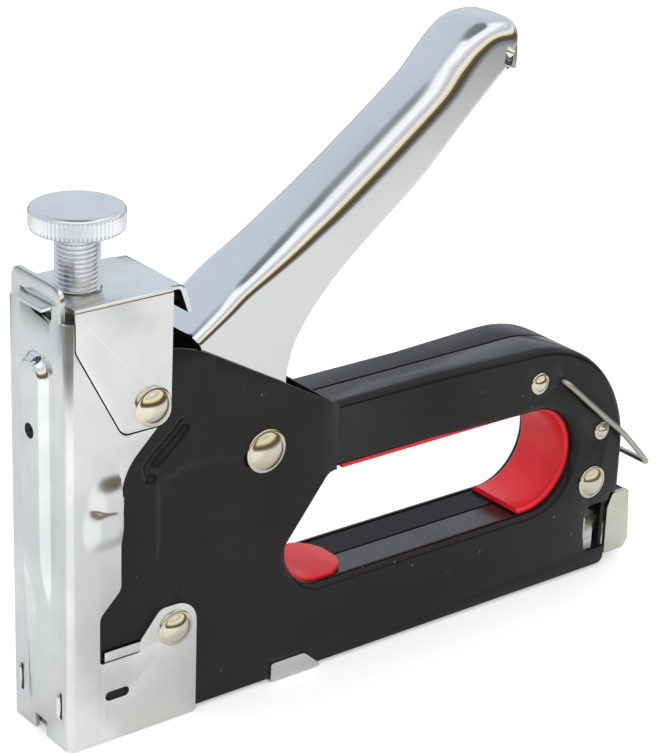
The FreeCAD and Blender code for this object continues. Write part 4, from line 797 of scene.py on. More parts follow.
@dataclass
class Casing:
    """The bright nose casing with its pressed rib, louvres and boss, and the cap in it.

    Attributes:
        edge: width of the broken cut edges.
        front: x of the front wall's outer face.
        side: distance of the side plates' outer faces from the middle plane.
        wall: thickness of the sheet.
        rib_base: half width of the rib where it leaves the wall.
        rib_flat: half width of its flat.
        rib_height: how far it stands out.
        rib_ends: z where the rib starts, where it has its full height and of its head's centre.
        holes: y, z and radius of the holes in the wall.
        louvres: y and z of the middle of each louvre's lip.
        louvre_size: how far a lip bulges, and half its width and height.
        boss: middle, half sizes, share of the rise and steepness of the boss's pillow and of its ramp.
        boss_rise: how far the boss stands out.
        tab_slot: corners of the slot under the cap's tab, y and z.
        notch: the strip in the side notch: its x range and its z range.
    """

    edge: float = 0.14
    front: float = -10.0
    side: float = 11.5
    wall: float = 1.1
    rib_base: float = 5.0
    rib_flat: float = 3.3
    rib_height: float = 1.95
    rib_ends: Place = (27.0, 45.0, 83.5)
    holes: tuple[Place, ...] = ((0.0, 71.5, 1.65), (-1.5, 87.2, 0.75))
    louvres: tuple[Flat, ...] = ((8.35, 9.9), (-7.3, 9.9))
    louvre_size: Place = (0.8, 0.85, 3.3)
    boss: tuple[tuple[Flat, Flat, float, float], ...] = (
        ((-0.6, 51.6), (6.1, 6.3), 1.0, 1.5), ((0.6, 56.6), (6.2, 7.3), 0.8, 1.25))
    boss_rise: float = 1.38
    tab_slot: tuple[Flat, ...] = ((6.3, 98.9), (0.6, 96.8), (-5.1, 96.2), (-5.9, 97.4), (-5.9, 98.9))
    notch: tuple[Flat, Flat] = ((-1.0, 8.3), (19.3, 21.5))

    def front_height(self, y: float, z: float) -> float:
        """Finds how far the rib stands out of the front wall at a place."""
        start, full, head = self.rib_ends
        off = math.hypot(y, max(0.0, z - head))
        rise = self.rib_height * ease((self.rib_base - off) / (self.rib_base - self.rib_flat))
        return rise * ease((z - start) / (full - start))

    def side_height(self, x: float, z: float) -> float:
        """Finds how far the boss stands out of the side plate at a place: a pillow under a ramp."""
        best = 0.0
        for (middle_x, middle_z), (half_x, half_z), share, soft in self.boss:
            off = (abs((x - middle_x) / half_x) ** 3 + abs((z - middle_z) / half_z) ** 3) ** (1 / 3)
            best = max(best, share * ease((1 - off) * soft))
        return self.boss_rise * best

    def flatten(self, piece: bpy.types.Object) -> None:
        """Planes the solid's rib and boss off, before they are formed again softly.

        Args:
            piece: the casing's copy.
        """
        reach = 6.0
        inner = self.front + self.wall
        Bench.cut(piece, Bench.block((self.front - 1.2, -5.3, 26.0), (inner, 5.3, 90.0)), "UNION")
        Bench.cut(piece, Bench.block((self.front - reach, -20.0, -5.0), (self.front, 20.0, 95.0)))
        for side in (-1, 1):
            near, far = sorted((side * self.side, side * (self.side + reach)))
            Bench.cut(piece, Bench.block((-15.0, near, 40.0), (15.0, far, 70.0)))
        for y, z, radius in self.holes:
            Bench.cut(piece, Bench.bar(radius, reach, (inner, y, z), "X"))
        slot = Bench.trace("tab_slot", [(self.front, y, z) for y, z in self.tab_slot], closed=True)
        depth = slot.modifiers.new("depth", "SOLIDIFY")
        depth.thickness = self.wall * 3 * MM
        depth.offset = 0
        Bench.apply(slot)
        Bench.tidy(slot)
        Bench.cut(piece, slot)
        Bench.edit(piece)
        bpy.ops.mesh.select_all(action="SELECT")
        bpy.ops.mesh.remove_doubles(threshold=0.001 * MM)
        bpy.ops.mesh.dissolve_limited(angle_limit=math.radians(0.4))
        bpy.ops.mesh.normals_make_consistent(inside=False)
        bpy.ops.object.mode_set(mode="OBJECT")

    def lips(self, piece: bpy.types.Object) -> None:
        """Joins the louvres' bulging lips to the front wall.

        Args:
            piece: the casing's copy.
        """
        for y, z in self.louvres:
            Bench.clear()
            bpy.ops.mesh.primitive_uv_sphere_add(segments=32, ring_count=24, radius=MM)
            lip = bpy.context.object
            lip.scale = self.louvre_size
            lip.location = (self.front * MM, y * MM, z * MM)
            bpy.ops.object.transform_apply(location=True, rotation=True, scale=True)
            Bench.cut(piece, lip, "UNION")

    def casing(self) -> None:
        """Makes the casing."""
        piece = Bench.copy_node("front_casing", "front_casing_sheet")
        self.flatten(piece)
        Bench.bevel(piece, self.edge)
        Bench.settle(piece, 30)
        for ranges, step in (((-6.0, 6.0), (79.0, 90.0)), 0.25), (((-6.0, 6.0), (26.0, 79.0)), 0.4):
            Bench.relief(piece, 0, self.front, ranges, step, self.front_height)
        for side in (-self.side, self.side):
            Bench.relief(piece, 1, side, ((-6.8, 3.0), (45.4, 64.0)), 0.35, self.side_height)
        self.lips(piece)
        Bench.settle(piece, 32)
        place_piece(piece, Body.FRAME, Slot.BRIGHT_ZINC, "front_casing")

    def cap(self) -> None:
        """Makes the cap, whose front tab leans down through the slot in the front wall."""
        piece = Bench.copy_node("top_cap", "top_cap_sheet")
        Bench.edit(piece)
        Bench.pick(piece, lambda p: p.x < self.front - 0.5)
        bpy.ops.transform.translate(value=(-0.95 * MM, 0, -0.75 * MM))
        bpy.ops.transform.resize(value=(1, 0.86, 1), center_override=(0, 0, 0))
        bpy.ops.object.mode_set(mode="OBJECT")
        Bench.bevel(piece, self.edge)
        Bench.settle(piece, 30)
        place_piece(piece, Body.FRAME, Slot.BRIGHT_ZINC, "top_cap")

    def strips(self) -> None:
        """Lays the inner strip that shows in the notch of each side plate."""
        (low_x, high_x), (low_z, high_z) = self.notch
        for side, name in ((-1, "near"), (1, "far")):
            Bench.clear()
            bpy.ops.mesh.primitive_cube_add(size=1)
            piece = bpy.context.object
            piece.scale = ((high_x - low_x) * MM, 0.5 * MM, (high_z - low_z) * MM)
            piece.location = ((low_x + high_x) / 2 * MM, side * 11.1 * MM, (low_z + high_z) / 2 * MM)
            bpy.ops.object.transform_apply(location=True, rotation=True, scale=True)
            Bench.bevel(piece, 0.2, 4)
            Bench.settle(piece, 40)
            place_piece(Bench.name(piece, "notch_strip_" + name), Body.FRAME, Slot.BRIGHT_ZINC)

    def build(self) -> None:
        """Makes the casing, the cap and the strips."""
        self.casing()
        self.cap()
        self.strips()


@dataclass
class Halves:
    """The two pressed and lacquered halves, with the shallow relief of their cheeks.

    Attributes:
        edge: width of the rounded edges under the lacquer.
        cheek: distance of the cheeks' outer faces from the middle plane.
        groove: middle line of the curved groove, x and z.
        groove_half: half its width.
        groove_depth: its depth.
        panel: the sunk panel's x range and z range.
        panel_soft: width of the panel's border.
        panel_depth: its depth.
        patches: the ranges that are divided finely, each with its step.
    """

    edge: float = 0.3
    cheek: float = 10.5
    groove: tuple[Flat, ...] = ((19.2, 69.2), (17.3, 67.2), (14.6, 65.0), (12.3, 63.2), (10.6, 61.3),
                                (11.0, 59.6))
    groove_half: float = 2.3
    groove_depth: float = 0.95
    panel: tuple[Flat, Flat] = ((12.0, 46.0), (38.0, 60.2))
    panel_soft: float = 2.2
    panel_depth: float = 0.6
    patches: tuple[tuple[tuple[Flat, Flat], float], ...] = (
        (((7.0, 22.0), (57.0, 72.0)), 0.35), (((7.0, 48.0), (36.0, 72.0)), 0.7))

    def height(self, x: float, z: float) -> float:
        """Finds how far a cheek rises at a place, below zero where it is pressed in."""
        rise = -self.groove_depth * ease(1 - far_from(x, z, self.groove) / self.groove_half)
        (left, right), (low, high) = self.panel
        top = high - 1.6 * ease((20.0 - x) / 6.0) - 1.4 * ease((x - 27.0) / 8.0)
        inside = min(x - left, (right - x) * 0.4, (z - low) * 0.5, top - z)
        return rise - self.panel_depth * ease(inside / self.panel_soft)

    def build(self) -> None:
        """Makes both halves."""
        for node, side in (("body_left", -1), ("body_right", 1)):
            piece = Bench.copy_node(node, node + "_sheet")
            Bench.bevel(piece, self.edge)
            Bench.settle(piece, 30)
            for ranges, step in self.patches:
                Bench.relief(piece, 1, side * self.cheek, ranges, step, self.height)
            Bench.settle(piece, 30)
            place_piece(piece, Body.FRAME, Slot.BLACK_LACQUER, node)


@dataclass(frozen=True)
class LeverStation:
    """One cross-section of the lever's skin.

    Attributes:
        top: x and z of the crown on the middle plane.
        low: x and z of the flange's lower edge.
        lean: how far the section's depth leans back from straight down, in degrees.
        corner: radius between crown and flange.
    """

    top: Flat
    low: Flat
    lean: float
    corner: float

    def numbers(self) -> list[float]:
        """Returns the section's sizes as one list."""
        return [*self.top, *self.low, self.lean, self.corner]


@dataclass
class Lever:
    """The squeeze lever: a bright pressed channel with a rounded tip.

    Attributes:
        half: half width over the flanges.
        wall: thickness of the sheet.
        crown: how far the top bulges over its width.
        arc_steps: points across each corner.
        rows: rows from one station to the next.
        pivot: x and z of the pivot, with the radius of its hole.
        roller: x and z of the lifting pin, with the radius of its hole.
    """

    half: float = 9.0
    wall: float = 1.2
    crown: float = 0.12
    arc_steps: int = 14
    rows: int = 6
    pivot: Place = (40.6, 57.8, 2.65)
    roller: Place = (20.87, 50.62, 2.05)
    stations: tuple[LeverStation, ...] = (
        LeverStation((22.6, 87.3), (16.1, 50.6), 34, 3.0),
        LeverStation((25.0, 88.9), (18.0, 47.0), 34, 3.1),
        LeverStation((27.5, 90.6), (22.0, 46.2), 34, 3.2),
        LeverStation((31.0, 93.1), (36.0, 49.4), 34, 3.4),
        LeverStation((34.5, 95.9), (43.4, 51.6), 34, 3.7),
        LeverStation((37.5, 97.9), (47.4, 57.0), 34, 4.0),
        LeverStation((39.5, 99.2), (46.6, 71.5), 34, 4.3),
        LeverStation((41.8, 100.7), (47.6, 77.4), 34, 4.6),
        LeverStation((44.8, 102.7), (49.2, 81.6), 34, 5.0),
        LeverStation((48.5, 105.2), (52.2, 86.2), 34, 5.4),
        LeverStation((53.0, 108.4), (57.0, 91.6), 34, 5.8),
        LeverStation((58.0, 111.9), (62.6, 96.8), 34, 6.2),
        LeverStation((66.4, 117.9), (70.6, 103.2), 35, 6.4),
        LeverStation((76.0, 124.9), (81.6, 111.7), 37, 6.4),
        LeverStation((86.1, 132.5), (90.8, 120.5), 41, 6.2),
        LeverStation((91.2, 137.6), (96.2, 125.6), 42, 5.8),
        LeverStation((95.0, 141.1), (100.0, 129.1), 38, 5.6),
        LeverStation((99.4, 143.6), (102.4, 131.3), 26, 5.4),
        LeverStation((103.8, 144.04), (103.7, 132.4), 6, 5.0),
        LeverStation((107.6, 143.6), (104.5, 133.1), -18, 5.0),
        LeverStation((109.8, 141.6), (105.0, 133.5), -44, 5.1),
        LeverStation((110.4, 138.2), (105.2, 133.6), -71, 5.0),
        LeverStation((110.6, 135.0), (105.3, 133.6), -91, 4.9),
        LeverStation((110.3, 131.9), (105.4, 132.9), -106, 4.8),
    )

    def blend(self, place: float) -> LeverStation:
        """Finds the section at a place along the stations, on a smooth curve through them.

        Args:
            place: the station's number, with a share of the way to the next.

        Returns:
            The section there.
        """
        last = len(self.stations) - 1
        index = min(int(place), last - 1)
        share = place - index
        before, here, after, beyond = (
            self.stations[min(max(index + step, 0), last)].numbers() for step in (-1, 0, 1, 2))
        mixed = []
        for a, b, c, d in zip(before, here, after, beyond):
            bend = 2 * a - 5 * b + 4 * c - d
            mixed.append(b + share / 2 * (c - a + share * (bend + share * (3 * (b - c) + d - a))))
        return LeverStation((mixed[0], mixed[1]), (mixed[2], mixed[3]), mixed[4], mixed[5])

    def section(self, station: LeverStation) -> list[Vector]:
        """Works out half a cross-section, from the crown to the flange's lower edge.

        Args:
            station: the section's sizes.

        Returns:
            Places in millimetres at y from 0 to the flange.
        """
        lean = math.radians(station.lean)
        depth = Vector((math.sin(lean), 0, -math.cos(lean)))
        top = Vector((station.top[0], 0, station.top[1]))
        flat = self.half - station.corner
        points = []
        for share in (0, 0.35, 0.7):
            points.append(top + Vector((0, flat * share, 0)) + depth * self.crown * share * share)
        for step in range(self.arc_steps + 1):
            turn = math.pi / 2 * step / self.arc_steps
            sunk = self.crown * (1 - step / self.arc_steps)
            across = flat + station.corner * math.sin(turn)
            down = station.corner * (1 - math.cos(turn)) + sunk
            points.append(top + Vector((0, across, 0)) + depth * down)
        low = Vector((station.low[0], self.half, station.low[1]))
        side = points[-1]
        for share in (0.12, 0.5, 0.88, 1.0):
            points.append(side.lerp(low, share))
        return points

    def skin(self) -> bpy.types.Object:
        """Bends a flat grid into the lever's outer skin.

        Returns:
            The skin, one face thick.
        """
        count = (len(self.stations) - 1) * self.rows
        halves = [self.section(self.blend(index / self.rows)) for index in range(count + 1)]
        rows = [[Vector((p.x, -p.y, p.z)) for p in reversed(half[1:])] + half for half in halves]
        across, along = len(rows[0]), len(rows)
        Bench.clear()
        bpy.ops.mesh.primitive_grid_add(x_subdivisions=across - 1, y_subdivisions=along - 1, size=1)
        piece = Bench.name(bpy.context.object, "lever_skin")
        for index, point in enumerate(piece.data.vertices):
            point.co = rows[index // across][index % across] * MM
        return piece

    def build(self) -> None:
        """Makes the lever with its wall, pin holes and softened cut edges."""
        piece = self.skin()
        Bench.tidy(piece, 0.0005)
        wall = piece.modifiers.new("wall", "SOLIDIFY")
        wall.thickness = self.wall * MM
        wall.offset = -1.0
        wall.use_even_offset = False
        Bench.apply(piece)
        for x, z, radius in (self.pivot, self.roller):
            Bench.clear()
            bpy.ops.mesh.primitive_cylinder_add(
                vertices=48, radius=radius * MM, depth=self.half * 3 * MM, location=(x * MM, 0, z * MM),
                rotation=(math.pi / 2, 0, 0))
            Bench.cut(piece, bpy.context.object)
        Bench.bevel(piece, 0.18, 2, 60)
        Bench.settle(piece, 40)
        place_piece(Bench.name(piece, "lever_skin"), Body.LEVER, Slot.CHROME_LEVER, "lever_handle")


@dataclass
class Screw:
    """The adjusting screw with its thread, and the knurled knob on top.

    Attributes:
        centre: x of the axis.
        crest: radius over the thread's crests.
        root: radius in the thread's grooves.
        pitch: rise in one turn.
        low: where the thread starts.
        high: where the thread ends, inside the knob.
        knob_low: the knob's underside.
        knob_high: the knob's top.
        knob_radius: radius over the knurl's crests.
        rim: width of the knob's rounded rims.
        knurls: grooves round the rim.
        groove: depth of a groove.
    """

    centre: float = -0.1
    crest: float = 4.82
    root: float = 4.28
    pitch: float = 1.0
    low: float = 93.6
    high: float = 113.6
    knob_low: float = 112.9
    knob_high: float = 117.9
    knob_radius: float = 10.0
    rim: float = 1.25
    knurls: int = 64
    groove: float = 0.62

    def thread(self) -> None:
        """Winds one tooth of the thread up the axis."""
        rise = self.pitch
        tooth = ((self.root, 0.0), (self.root, 0.14), (self.crest - 0.08, 0.40), (self.crest, 0.48),
                 (self.crest, 0.54), (self.crest - 0.08, 0.62), (self.root, 0.88), (self.root, 1.0))
        piece = Bench.trace("screw_thread", [(radius, 0, self.low + share * rise) for radius, share in tooth])
        winding = piece.modifiers.new("winding", "SCREW")
        winding.angle = math.tau
        winding.screw_offset = rise * MM
        winding.iterations = round((self.high - self.low) / rise) - 1
        winding.steps = winding.render_steps = 56
        winding.use_merge_vertices = True
        winding.merge_threshold = 0.001 * MM
        Bench.apply(piece)
        Bench.edit(piece)
        bpy.ops.mesh.select_all(action="SELECT")
        bpy.ops.mesh.remove_doubles(threshold=0.002 * MM)
        bpy.ops.mesh.select_all(action="DESELECT")
        bpy.ops.mesh.select_non_manifold()
        bpy.ops.mesh.edge_face_add()
        bpy.ops.mesh.select_all(action="SELECT")
        bpy.ops.mesh.normals_make_consistent(inside=False)
        bpy.ops.object.mode_set(mode="OBJECT")
        piece.location = (self.centre * MM, 0, 0)
        Bench.settle(piece, 40)
        place_piece(piece, Body.SCREW, Slot.KNURLED_STEEL, "adjusting_screw")

    def knob(self) -> None:
        """Turns the knob and presses its straight knurl."""
        Bench.clear()
        height = self.knob_high - self.knob_low
        bpy.ops.mesh.primitive_cylinder_add(
            vertices=self.knurls * 4, radius=self.knob_radius * MM, depth=height * MM,
            location=(0, 0, (self.knob_low + height / 2) * MM))
        piece = Bench.name(bpy.context.object, "adjusting_knob_knurled")
        bpy.ops.object.transform_apply(location=True)
        Bench.edit(piece, "EDGE")
        Bench.pick_edges(piece, lambda a, b: abs(a.z - b.z) < 1e-3)
        bpy.ops.mesh.bevel(offset=self.rim * MM, segments=5, affect="EDGES")
        bpy.ops.mesh.select_mode(type="VERT")
        for step, share in ((0, 0.12), (2, 1.0), (1, 0.45), (3, 0.45)):
            if not share:
                continue
            Bench.pick(piece, lambda p, s=step: self.in_groove(p, s))
            reach = 1 - self.groove * share / self.knob_radius
            bpy.ops.transform.resize(value=(reach, reach, 1), center_override=(0, 0, 0))
        bpy.ops.mesh.select_mode(type="FACE")
        bpy.ops.mesh.select_all(action="DESELECT")
        self.dish(piece)
        bpy.ops.object.mode_set(mode="OBJECT")
        piece.location = (self.centre * MM, 0, 0)
        Bench.settle(piece, 28)
        place_piece(piece, Body.SCREW, Slot.KNURLED_STEEL, "adjusting_knob")

    def in_groove(self, point: Vector, step: int) -> bool:
        """Tells whether a point of the rim lies on one of the four lines of a groove."""
        radius = math.hypot(point.x, point.y)
        turn = math.atan2(point.y, point.x) / math.tau * self.knurls * 4
        level = self.knob_low + self.rim * 0.5 < point.z < self.knob_high - self.rim * 0.8
        return radius > self.knob_radius * 0.95 and level and round(turn) % 4 == step

    def dish(self, piece: bpy.types.Object) -> None:
        """Insets the knob's top face, so that its flat and its rim stay crisp.

        Args:
            piece: the knob, in edit mode.
        """
        mesh = bmesh.from_edit_mesh(piece.data)
        for face in mesh.faces:
            face.select_set(abs(face.normal.z) > 0.99 and len(face.verts) > 8)
        bmesh.update_edit_mesh(piece.data)
        bpy.ops.mesh.inset(thickness=0.25 * MM, depth=0)

    def build(self) -> None:
        """Makes the screw and the knob."""
        self.thread()
        self.knob()


@dataclass
class Rivets:
    """The round heads on both sides: a stepped rim under a shallow dome.

    Attributes:
        rim: height of the rim.
        step: how far the dome is set in from the rim.
        dome_steps: points over the dome.
        turns: points round the head.
    """

    rim: float = 0.6
    step: float = 0.7
    dome_steps: int = 9
    turns: int = 64

    def profile(self, base: float, head: float, shank: float, dome: float) -> list[Place]:
        """Draws half an outline from the crown down to the shank's middle.

        Args:
            base: distance of the head's underside from the middle plane.
            head: radius of the rim.
            shank: radius of the shank.
            dome: height of the dome over the rim.

        Returns:
            Places with the radius along x and the axis along y.
        """
        foot = head - self.step
        ball = (foot * foot + dome * dome) / (2 * dome)
        reach = math.asin(min(1.0, foot / ball))
        points = []
        for index in range(self.dome_steps + 1):
            turn = reach * index / self.dome_steps
            points.append((ball * math.sin(turn), base + self.rim + dome - ball * (1 - math.cos(turn)), 0))
        soft = 0.18
        points += [(foot + soft, base + self.rim - 0.04, 0), (head - soft, base + self.rim - soft / 2, 0),
                   (head, base + self.rim - soft * 1.4, 0), (head, base, 0), (shank, base, 0), (shank, 0, 0)]
        return points

    def build(self) -> None:
        """Turns each rivet with both its heads."""
        for node, head, dome in (
                ("upper_front_rivet", 4.4, 1.6), ("lower_front_rivet", 4.2, 1.6), ("lever_pivot_rivet", 5.1, 1.6),
                ("rear_rivet", 4.2, 1.6), ("grip_rivet", 2.7, 0.9), ("wire_stop_pin", 2.3, 0.9)):
            low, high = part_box(node)
            centre = (low + high) / 2 / MM
            base = high.y / MM - self.rim - dome
            piece = Bench.trace(node + "_head", self.profile(base, head, head * 0.5, dome))
            Bench.edit(piece)
            bpy.ops.mesh.select_all(action="SELECT")
            bpy.ops.mesh.spin(steps=self.turns, angle=math.tau, center=(0, 0, 0), axis=(0, 1, 0))
            bpy.ops.object.mode_set(mode="OBJECT")
            mirror = piece.modifiers.new("far_head", "MIRROR")
            mirror.use_axis = (False, True, False)
            Bench.apply(piece)
            Bench.tidy(piece)
            piece.location = (centre.x * MM, 0, centre.z * MM)
            Bench.settle(piece, 50)
            place_piece(piece, Body.FRAME, Slot.NICKEL_RIVET, node)


@dataclass
class Liners:
    """The soft red liners of the finger window.

    Attributes:
        edge: radius along the liners' edges.
        front_edge: the same on the front corner's liner.
        tongue: x where the front corner's liner ends on the middle plane.
        tongue_round: radius of its end, seen from above.
    """

    edge: float = 1.1
    front_edge: float = 0.8
    tongue: float = 68.0
    tongue_round: float = 8.6

    def build(self) -> None:
        """Makes both liners."""
        for node, width in (("grip_liner", self.edge), ("front_corner_liner", self.front_edge)):
            piece = Bench.copy_node(node, node + "_soft")
            if node == "front_corner_liner":
                self.round_end(piece)
            Bench.bevel(piece, width, 5, 25)
            Bench.settle(piece, 40)
            place_piece(piece, Body.FRAME, Slot.RED_RUBBER, node)

    def round_end(self, piece: bpy.types.Object) -> None:
        """Rounds the free end of the front corner's liner.

        Args:
            piece: the liner's copy.
        """
        middle = self.tongue - self.tongue_round
        tool = Bench.block((middle, -14.0, 12.0), (self.tongue + 8.0, 14.0, 48.0))
        Bench.clear()
        bpy.ops.mesh.primitive_cylinder_add(vertices=96, radius=self.tongue_round * MM, depth=50 * MM,
                                            location=(middle * MM, 0, 30 * MM))
        Bench.cut(tool, bpy.context.object)
        Bench.cut(piece, tool)


@dataclass(frozen=True)
class Coil:
    """A stretch of a spring, cut from its wound solid.

    Attributes:
        name: the piece's name.
        node: the wound solid that it comes from.
        first: the body at its start; not used.
        second: the body at its end; not used.
        start: the start of its axis.
        end: the end of its axis.
        cut: the way that is cut off along the axis: 1 past its end, -1 before its start, 0 nothing.
    """

    name: str
    node: str
    first: Body
    second: Body
    start: Place
    end: Place
    cut: int = 0

    def build(self) -> None:
        """Makes the stretch from the wound solid."""
        piece = Bench.copy_node(self.node, self.name)
        start, end = Vector(self.start) * MM, Vector(self.end) * MM
        if self.cut:
            Bench.edit(piece)
            bpy.ops.mesh.select_all(action="SELECT")
            bpy.ops.mesh.bisect(plane_co=end if self.cut > 0 else start, plane_no=(end - start).normalized(),
                                use_fill=True, clear_outer=self.cut > 0, clear_inner=self.cut < 0)
            bpy.ops.object.mode_set(mode="OBJECT")
        Bench.settle(piece, 50)
        piece.data.materials.append(Paint.get(Slot.SPRING_WIRE))
        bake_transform(piece)
        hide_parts(self.node)


@dataclass
class Springs:
    """The two coil springs. The main one is cut in two at a place that stays still.

    Attributes:
        coils: the stretches.
    """

    coils: tuple[Coil, ...] = (
        Coil("main_spring_lower_coil", "main_spring", Body.DRIVER, Body.FRAME, (-0.1, 0.0, 55.6),
             (-0.1, 0.0, 77.6), 1),
        Coil("main_spring_upper_coil", "main_spring", Body.FRAME, Body.SEAT, (-0.1, 0.0, 77.6),
             (-0.1, 0.0, 88.8), -1),
        Coil("feeder_spring_coil", "feeder_spring", Body.PUSHER, Body.RAIL, (10.0, 0.0, 6.2),
             (142.0, 0.0, 6.2)))

    def build(self) -> None:
        """Makes both springs."""
        for coil in self.coils:
            coil.build()


@dataclass
class LockWire:
    """The bent wire loop on the rear of the grip.

    Attributes:
        hinge: x and z of the two holes that it turns in.
        end: x and z of the middle of its crossbar.
        plane: distance of each leg from the middle plane.
        hook: where the turned-in ends stop.
        radius: the wire's radius.
        bulges: share along a leg, with how far it stands off the straight line there.
    """

    hinge: Flat = (128.2, 54.0)
    end: Flat = (158.2, 25.6)
    plane: float = 12.2
    hook: float = 8.4
    radius: float = 0.72
    bulges: tuple[Flat, ...] = ((0.06, 0.0), (0.28, 0.25), (0.5, 0.55), (0.62, 0.85), (0.72, 0.75), (0.93, 0.1))

    def route(self) -> list[Place]:
        """Lists the wire's places from one turned-in end to the other."""
        start = Vector((self.hinge[0], 0, self.hinge[1]))
        far = Vector((self.end[0], 0, self.end[1]))
        along = (far - start).normalized()
        off = Vector((-along.z, 0, along.x))
        leg = []
        for share, bulge in self.bulges:
            leg.append(start.lerp(far, share) + off * bulge)
        near = [start + Vector((0, -self.hook, 0)), start + Vector((0, -self.plane + 1.0, 0))]
        near += [point + Vector((0, -self.plane, 0)) for point in leg]
        near += [far + Vector((0, -self.plane + 0.5, 0)), far + Vector((0, -self.plane + 2.2, 0))]
        return near + [Vector((p.x, -p.y, p.z)) for p in reversed(near)]

    def build(self) -> None:
        """Bends the wire along its route."""
        curve = bpy.data.curves.new("lock_wire_bent", "CURVE")
        curve.dimensions = "3D"
        spline = curve.splines.new("NURBS")
        places = self.route()
        spline.points.add(len(places) - 1)
        for point, place in zip(spline.points, places):
            point.co = (*(place * MM), 1)
        spline.order_u = 3
        spline.use_endpoint_u = True
        spline.resolution_u = 8
        curve.bevel_depth = self.radius * MM
        curve.bevel_resolution = 5
        curve.use_fill_caps = True
        piece = bpy.data.objects.new("lock_wire_bent", curve)
        bpy.context.scene.collection.objects.link(piece)
        Bench.take(piece)
        bpy.ops.object.convert(target="MESH")
        piece = bpy.context.object
        Bench.tidy(piece, 0.0005)
        Bench.settle(piece, 50)
        place_piece(Bench.name(piece, "lock_wire_bent"), Body.WIRE, Slot.SPRING_WIRE, "lock_wire")


